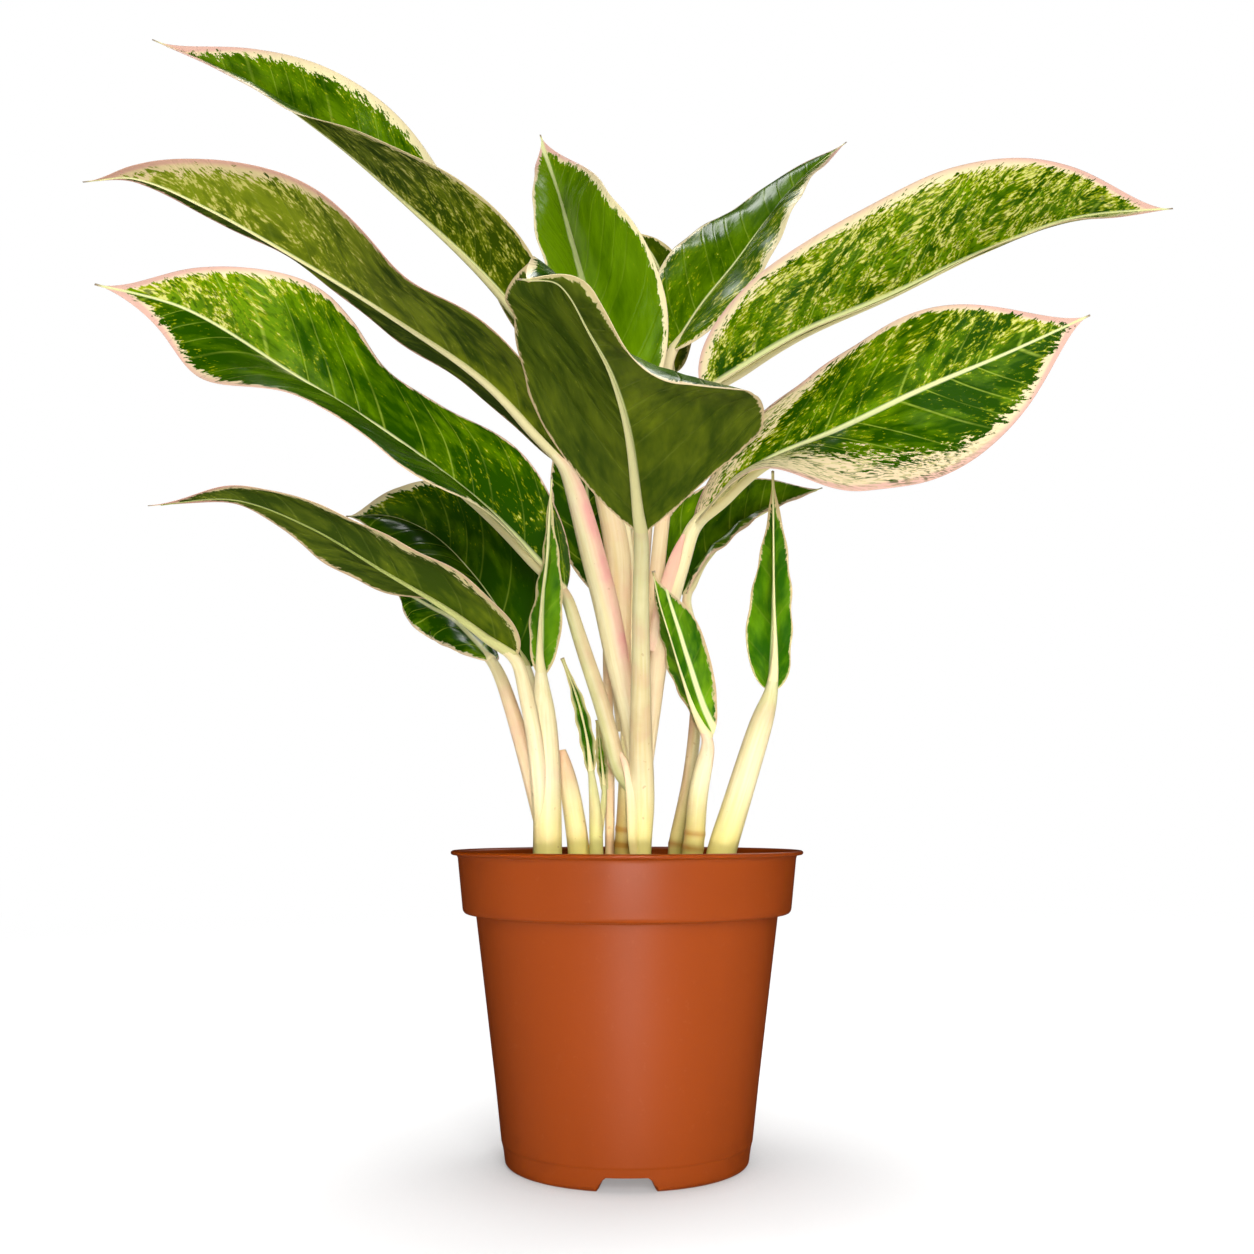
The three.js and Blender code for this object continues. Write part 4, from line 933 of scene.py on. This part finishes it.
# foot: x, y and radius of the cane in the mix. way: x, y, z and radius up the stalk. rings:
# heights of the scars. deep: flatness of a thin free edge. Stains run from the soil upwards.
STALKS = {
    "stalks_left": [
        dict(
            foot=[-31, -14, 5.7],
            way=[[-31, -14, 117, 5.7], [-31.5, -13.5, 150, 5.3], [-33, -13, 172, 4.8]],
            blade="young_1_blade", green=[0.1, 0, 0, 0.1], pink=[0, 0.1, 0],
        ),
        dict(
            way=[[-33, -15, 128, 3.2], [-36, -20, 162, 3.2], [-40, -28, 183, 2.8]],
            blade="leaf_e_blade", green=[0, 0, 0.4], pink=[0, 0.2, 0.2],
        ),
        dict(
            way=[[-33, -12, 128, 3.2], [-41, -8, 158, 3.3], [-50, -3, 185, 2.7]],
            blade="leaf_f_blade", green=[0, 0, 0.2], ochre=[0, 0.15, 0.1], pink=[0, 0.3, 0],
        ),
        dict(
            way=[[-32, -10, 134, 3.2], [-36.5, -1, 170, 3.0]], blade="leaf_d_blade",
            green=[0, 0, 0.2],
        ),
    ],
    "stub_sheath": [
        dict(
            foot=[-19, -4, 4.4],
            way=[[-19, -4, 117, 4.4], [-22, -3.5, 138, 4], [-25, -3, 152, 3.2],
                 [-26.5, -2.5, 160, 1.2]],
            ochre=[0, 0, 0, 0.1, 0.3, 0.45], pink=[0, 0, 0.3],
        ),
    ],
    "stalks_young_2": [
        dict(
            foot=[-12, -12, 2.8], way=[[-12, -12, 117, 2.8], [-12.5, -11, 135, 2.4]],
            blade="young_2_blade", green=[0.2, 0.3, 0.6],
        ),
        dict(
            way=[[-12, -12, 116, 1.4], [-10, -4, 132, 1.3]], blade="young_5_blade",
            green=[0.2, 0.6],
        ),
    ],
    "stalk_leaf_n": [
        dict(
            foot=[-7, 5, 1.9], way=[[-7, 5, 117, 1.9], [-7, 8, 150, 1.9], [-8, 15, 185, 2]],
            blade="leaf_n_blade", pink=[0.35, 0.35, 0], ochre=[0.1, 0.1],
        ),
    ],
    "stalks_centre": [
        dict(
            foot=[-1, -1, 4.2],
            way=[[-1, -1, 119, 4.2], [-0.8, -1.2, 121, 4.7], [-0.6, -1.4, 123, 4.2],
                 [1.2, -3, 146, 4.6], [1.5, -2, 185, 3.4]],
            rings=[121, 127], ochre=[0.6, 0.6, 0.3, 0.1, 0], green=[0.3, 0.3, 0],
        ),
        dict(
            foot=[6, -9, 3.6],
            way=[[6, -9, 120, 3.6], [6, -9, 138, 4.9], [5.5, -16, 160, 4.5], [5.3, -38, 186, 3.6],
                 [5, -64, 210, 3.0]],
            blade="leaf_g_blade", green=[0, 0, 0, 0.1, 0.3, 0.4], ochre=[0, 0.1, 0.35, 0.1, 0],
        ),
        dict(
            way=[[3, -5, 142, 3.2], [-3.6, -8, 152, 3.5], [-6, -8.5, 162, 3.3],
                 [-10.6, -9, 178, 3.3], [-16, -9.5, 194, 3.1], [-20.7, -11, 208.4, 2.8]],
            blade="leaf_c_blade", green=[0.7, 0.75, 0.45, 0.4, 0.5], pink=[0.1, 0.3, 0.35, 0.1],
            blush_side=1,
        ),
        dict(
            way=[[3.2, -4.5, 148, 3.2], [1.6, -5.2, 168, 3.8], [-4, -7, 195, 4.9],
                 [-8.7, -8, 218, 5.2], [-13.4, -8, 235.6, 5.1], [-18.5, -7.5, 255, 4.6],
                 [-22.5, -6.5, 268, 3.8]],
            blade="leaf_b_blade", pink=[0, 0, 0, 0.35, 0.8, 0.9, 0.8, 0.4], blush_side=1,
        ),
        dict(
            way=[[0, 1, 165, 4], [-2.9, 1, 195, 4.6], [-3.3, 2, 220, 5.0], [-3.6, 2.4, 238, 5.3],
                 [-8.3, 4, 263, 4.8], [-14.5, 5, 285, 3.9], [-22, 5, 304, 3.2]],
            blade="leaf_a_blade", ochre=[0.55, 0.4, 0.22, 0.15, 0.1], pink=[0, 0.1, 0.15, 0.1],
            blush_side=1,
        ),
        dict(way=[[2, 2, 172, 3.4], [1, 9, 222, 3.4], [-3, 12, 265, 3]], blade="leaf_h_blade"),
        dict(
            way=[[3, 2, 168, 3.2], [5, 10, 213, 3.2], [8, 18, 257, 3.1], [12, 28, 298, 2.8]],
            blade="leaf_j_blade", pink=[0, 0.2, 0.1],
        ),
        dict(
            way=[[2, 0, 168, 2.8], [1, 20, 212, 2.5], [4, 38, 258, 2.3], [13, 54, 306, 2]],
            blade="leaf_i_blade",
        ),
        dict(
            way=[[4, -5, 146, 3.2], [9.5, -2, 199, 3], [12.5, 0, 233, 3.1], [16, 2, 263, 3],
                 [21, 3.5, 288, 2.8]],
            blade="leaf_k_blade", ochre=[0.4, 0.3, 0], pink=[0.3, 0.3, 0.1],
        ),
        dict(
            way=[[5, -7, 140, 3.4], [9.5, -9, 170, 3.4], [13.1, -8, 196, 3.6],
                 [17.8, -8, 220, 3.9], [22.2, -7.5, 235, 3.8]],
            blade="leaf_l_blade", ochre=[0.1, 0.1, 0], pink=[0, 0.1, 0.3, 0.1, 0],
            green=[0, 0, 0, 0.1],
        ),
        dict(
            way=[[10.5, -9.5, 196, 2.6], [14.0, -10.6, 214, 3.4], [17.4, -11, 228, 3.0],
                 [19.8, -11.4, 237, 2.2], [22.4, -11.8, 243.5, 1.0], [23.6, -12, 246.5, 0.35]],
            deep=0.4, pink=[0, 0.2, 0.4, 0.5, 1], ochre=[0, 0, 0, 0, 0.6],
        ),
        dict(
            way=[[-3.4, -10, 158.5, 0.4], [-1.8, -11.5, 155.5, 1.0], [0.4, -12.4, 150, 1.7],
                 [1.6, -12.9, 142, 2.0], [2.0, -12.6, 130, 2.0], [2.4, -11.8, 120, 1.9],
                 [4.4, -9.8, 109, 1.5]],
            deep=0.4, pink=[0.5, 0.3, 0],
        ),
    ],
    "stalk_leaf_m": [
        dict(
            foot=[19, 2, 2.8],
            way=[[19, 2, 115, 2.8], [19.5, 2, 121, 3.1], [20, 2.2, 124, 2.8], [25, 3, 147, 2.6],
                 [28, 5, 171, 2.5], [29, 10, 200, 2.3]],
            blade="leaf_m_blade", rings=[121], ochre=[0.3, 0.3, 0.2, 0.1, 0],
            green=[0.4, 0.3, 0.1], pink=[0, 0.4, 0.3], blush_side=-1,
        ),
    ],
    "stalk_young_3": [
        dict(
            foot=[25, -16, 4],
            way=[[25, -16, 117, 4], [25.6, -16.4, 120, 4.4], [26.2, -16.8, 123, 4],
                 [27.6, -17.6, 140, 3.8], [30.5, -19, 154, 3.3]],
            blade="young_3_blade", rings=[120, 125.5], ochre=[0.4, 0.3, 0, 0],
            green=[0.3, 0.3, 0, 0.1], pink=[0, 0, 0, 0.3],
        ),
    ],
    "stalk_young_4": [
        dict(
            foot=[36, -11, 5.9],
            way=[[36, -11, 114, 5.9], [42.8, -9.8, 136, 5.4], [50, -8.6, 158, 5.0],
                 [55, -8, 173, 4.3]],
            blade="young_4_blade", green=[0, 0, 0, 0.2, 0.55], ochre=[0.05, 0.05, 0],
        ),
    ],
}


def make_stalk(stalk):
    """One stalk as a smooth bar. It starts in the mix or in another stalk, and its end runs into
    the midrib bar under the blade. Its line is softened by a weighted mean, with the weights
    exp(-0.5 * (i / 4.5) ** 2). Stains change along it, and the pink may keep to one side."""
    way = [list(p) for p in stalk["way"]]
    if "foot" in stalk:
        x, y, r = stalk["foot"]
        way = [[x, y, FOOT_Z, r], [x, y, SOIL_Z - 4, r]] + way
    if "blade" in stalk:
        leaf = LEAVES[stalk["blade"]]
        centre, radius = midrib(leaf, np.array([-1.0, 1.5, 7.0]) / rib_length(leaf))
        way += [list(c) + [r] for c, r in zip(centre, radius * [1.03, 1.02, 0.9])]
    length = np.linalg.norm(np.diff(np.array(way)[:, :3], axis=0), axis=1).sum()
    line = along(way, np.linspace(0, 1, int(length / STALK_STEP) + 2))
    kernel = np.exp(-0.5 * (np.arange(-REACH, REACH + 1) / 4.5) ** 2)
    kernel = kernel / kernel.sum()
    padded = np.concatenate([line[:1]] * REACH + [line] + [line[-1:]] * REACH)
    line = np.stack([np.convolve(padded[:, c], kernel, "valid") for c in range(4)], 1)
    scar = sum(np.exp(-(((line[:, 2] - z) / 1.1) ** 2)) for z in stalk.get("rings", []))
    scar = scar + 0 * line[:, 2]
    points, faces, place, right = bar_tube(
        line[:, :3], line[:, 3] + 0.25 * scar, STALK_SIDES, stalk.get("deep", 1.0)
    )
    above = np.clip((line[:, 2] - SOIL_Z) / max(line[-1, 2] - SOIL_Z, 1), 0, 1)
    above = above if line[-1, 2] > line[0, 2] else np.linspace(0, 1, len(line))
    pink, green, ochre = (
        np.repeat(eased(stalk.get(key, [0, 0]), above), STALK_SIDES)
        for key in ("pink", "green", "ochre")
    )
    if "blush_side" in stalk:
        pink = pink * np.clip(0.35 + 1.3 * stalk["blush_side"] * right, 0, 1)
    ochre = ochre + 0.8 * np.repeat(scar, STALK_SIDES)
    return points, faces, place, np.stack([pink, green, ochre], -1)


# Fleshy stalk tissue: a satin cream skin with fibres 0.9 mm wide and 30 mm long. It turns
# yellower at the soil, and pink, green or ochre where it is stained, in clouds of 17 mm. Brown
# specks of 1 mm are strewn over it, 2.4 mm apart at the closest.
stalk_skin, tree, shader = new_material("fleshy_leaf_stalk")
place = add(tree, "TexCoord").outputs["Object"]
height = add(tree, "SeparateXYZ", {"Vector": place}).outputs["Z"]
skin, stain = (
    add(tree, "Attribute", attribute_name=key).outputs["Vector"] for key in ("skin", "stain")
)
stain = add(tree, "SeparateXYZ", {"Vector": stain}).outputs
fibre_at = add(tree, "Mapping", {"Vector": skin, "Scale": (1.1, 1.1, 0.035)})
fibre = add(tree, "TexNoise", {"Vector": fibre_at, "Scale": 1.0, "Detail": 3}).outputs["Fac"]
cloud = add(tree, "TexNoise", {"Vector": place, "Scale": 60, "Detail": 3}).outputs["Fac"]
speck = add(tree, "TexNoise", {"Vector": place, "Scale": 420, "Detail": 1}).outputs["Fac"]
low = add(tree, "MapRange", [height, 0.116, 0.145, 0.95, 0])
uneven = add(tree, "MapRange", [cloud, 0.3, 0.7, 0.55, 1.3])
faint = add(tree, "MapRange", [cloud, 0.5, 0.75, 0, 0.3])
specked = add(tree, "MapRange", [speck, 0.74, 0.79, 0, 0.35])
green_part, ochre_part = (
    add(tree, "Math", [stain[axis], uneven], operation="MULTIPLY", use_clamp=True)
    for axis in "YZ"
)
blush = add(tree, "Math", [stain["X"], uneven, faint], operation="MULTIPLY_ADD", use_clamp=True)
skin_colour = add(tree, "Mix", {"Factor": fibre, 6: linear("#e6d28a"), 7: linear("#fdf5d2")},
                  data_type="RGBA")
for part, colour in ((low, "#f4e47c"), (green_part, "#96a44c"), (ochre_part, "#b98a3c"),
                     (blush, "#f0aea0"), (specked, "#b07c48")):
    skin_colour = add(tree, "Mix", {"Factor": part, 6: skin_colour, 7: linear(colour)},
                      data_type="RGBA")
tree.links.new(skin_colour.outputs[2], shader.inputs["Base Color"])
satin = add(tree, "MapRange", [fibre, 0, 1, 0.34, 0.5])
tree.links.new(satin.outputs["Result"], shader.inputs["Roughness"])
relief = add(tree, "Bump", {"Height": fibre, "Strength": 0.3, "Distance": 0.0004})
tree.links.new(relief.outputs["Normal"], shader.inputs["Normal"])
shader.inputs["IOR"].default_value = 1.42

for name, group in STALKS.items():
    points, faces, skins, stains = zip(*[make_stalk(stalk) for stalk in group])
    starts = np.cumsum([0] + [len(bar) for bar in points])
    piece = mesh_object(
        name.replace("stalk", "petiole").replace("stub", "old"), np.concatenate(points),
        np.concatenate([bar_faces + start for bar_faces, start in zip(faces, starts)]),
        skin=np.concatenate(skins), stain=np.concatenate(stains),
    )
    piece.data.materials.append(stalk_skin)
    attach(piece, "root")
    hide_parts(name)


# ---------- studio ----------
# A white paper floor that runs out into a white room, soft boxes in front, above and behind,
# and the camera at the height of the pot's rim, looking slightly up.

PAPER_R, PAPER_SIDES = 9.0, 96  # paper floor, radius in metres
CAMERA_AT, LOOKS_UP = (0, -0.5506, 0.1308), 8.07  # metres and degrees
LENS, SENSOR = 39.0, 36.0

scene = bpy.context.scene
scene.view_settings.view_transform = "Standard"
turn = np.linspace(0, 2 * math.pi, PAPER_SIDES, endpoint=False)
circle = np.stack([np.cos(turn), np.sin(turn), 0 * turn], -1)
paper = mesh_object("paper_floor", PAPER_R / MM * circle, [list(range(PAPER_SIDES))], smooth=False)

# Matt white paper: it glows a little, so that it runs into the white of the room. Close round
# the pot its glow is dimmed by ambient occlusion: a painted soft shadow.
matt_paper, tree, shader = new_material("matt_paper")
place = add(tree, "TexCoord").outputs["Object"]
far = add(tree, "VectorMath", {0: place}, operation="LENGTH").outputs["Value"]
# Ambient occlusion dims the glow near the pot, which paints the soft shadow.
near_pot = add(tree, "AmbientOcclusion", {"Distance": 0.13}, samples=8).outputs["AO"]
shade = add(tree, "MapRange", [near_pot, 0.4, 1, 0.3])
glow, white = (
    add(tree, "MapRange", [far, 0.35, 1.6, near, away], interpolation_type="SMOOTHSTEP")
    for near, away in ((0.88, 1), (0.5, 0))
)
tree.links.new(white.outputs["Result"], shader.inputs["Base Color"])
shaded = add(tree, "Math", [glow, shade], operation="MULTIPLY")
tree.links.new(shaded.outputs[0], shader.inputs["Emission Strength"])
shader.inputs["Emission Color"].default_value = (1, 1, 1, 1)
shader.inputs["Roughness"].default_value = 0.9
shader.inputs["Specular IOR Level"].default_value = 0.0
paper.data.materials.append(matt_paper)
paper.visible_glossy = False

# The room is white to the camera alone, and the boxes light the plant.
world = bpy.data.worlds.new("white_room")
scene.world = world
world.use_nodes = True
world.node_tree.nodes["Background"].inputs["Color"].default_value = (1, 1, 1, 1)
world.node_tree.nodes["Background"].inputs["Strength"].default_value = 1.0
world.cycles_visibility.diffuse = False
world.cycles_visibility.glossy = False


def soft_box(name, place, aim, width, height, power):
    """Area light of that size in metres and power in watts at a place, turned so that it shines
    at aim."""
    lamp = bpy.data.lights.new(name, "AREA")
    lamp.shape, lamp.size, lamp.size_y, lamp.energy = "RECTANGLE", width, height, power
    box = bpy.data.objects.new(name, lamp)
    scene.collection.objects.link(box)
    box.location = place
    box.rotation_euler = (Vector(aim) - Vector(place)).to_track_quat("-Z", "Y").to_euler()
    return box


# The key has a polarising sheet, which keeps its sheen off the leaves.
key = soft_box("key_box", (0.15, -1.5, 0.7), (0, 0, 0.25), 0.7, 0.9, 22)
key.visible_glossy = False
soft_box("top_box", (-0.25, 0.35, 1.45), (0, 0, 0.3), 0.4, 0.4, 3.4)
left = soft_box("left_fill", (-1.8, -0.6, 0.6), (0, 0, 0.25), 1.2, 1.2, 0.7)
right = soft_box("right_fill", (1.8, -0.4, 0.6), (0, 0, 0.25), 1.2, 1.2, 0.7)
left.visible_glossy = right.visible_glossy = False
soft_box("back_box", (1.0, 1.3, 1.65), (0, 0, 0.3), 1.0, 1.0, 9)
# A low strip with a grid lights the pot alone and gives the band its soft upright highlight.
strip = soft_box("low_strip", (0.04, -0.9, 0.05), (0, 0, 0.06), 0.3, 0.06, 0.17)
strip.data.spread = math.radians(28)

camera = bpy.data.cameras.new("camera")
camera.lens = LENS
camera.sensor_width = SENSOR
camera.sensor_fit = "HORIZONTAL"
camera.clip_start = 0.01
eye = bpy.data.objects.new("camera", camera)
eye.location = CAMERA_AT
eye.rotation_euler = (math.radians(90 + LOOKS_UP), 0, 0)
scene.collection.objects.link(eye)
scene.camera = eye
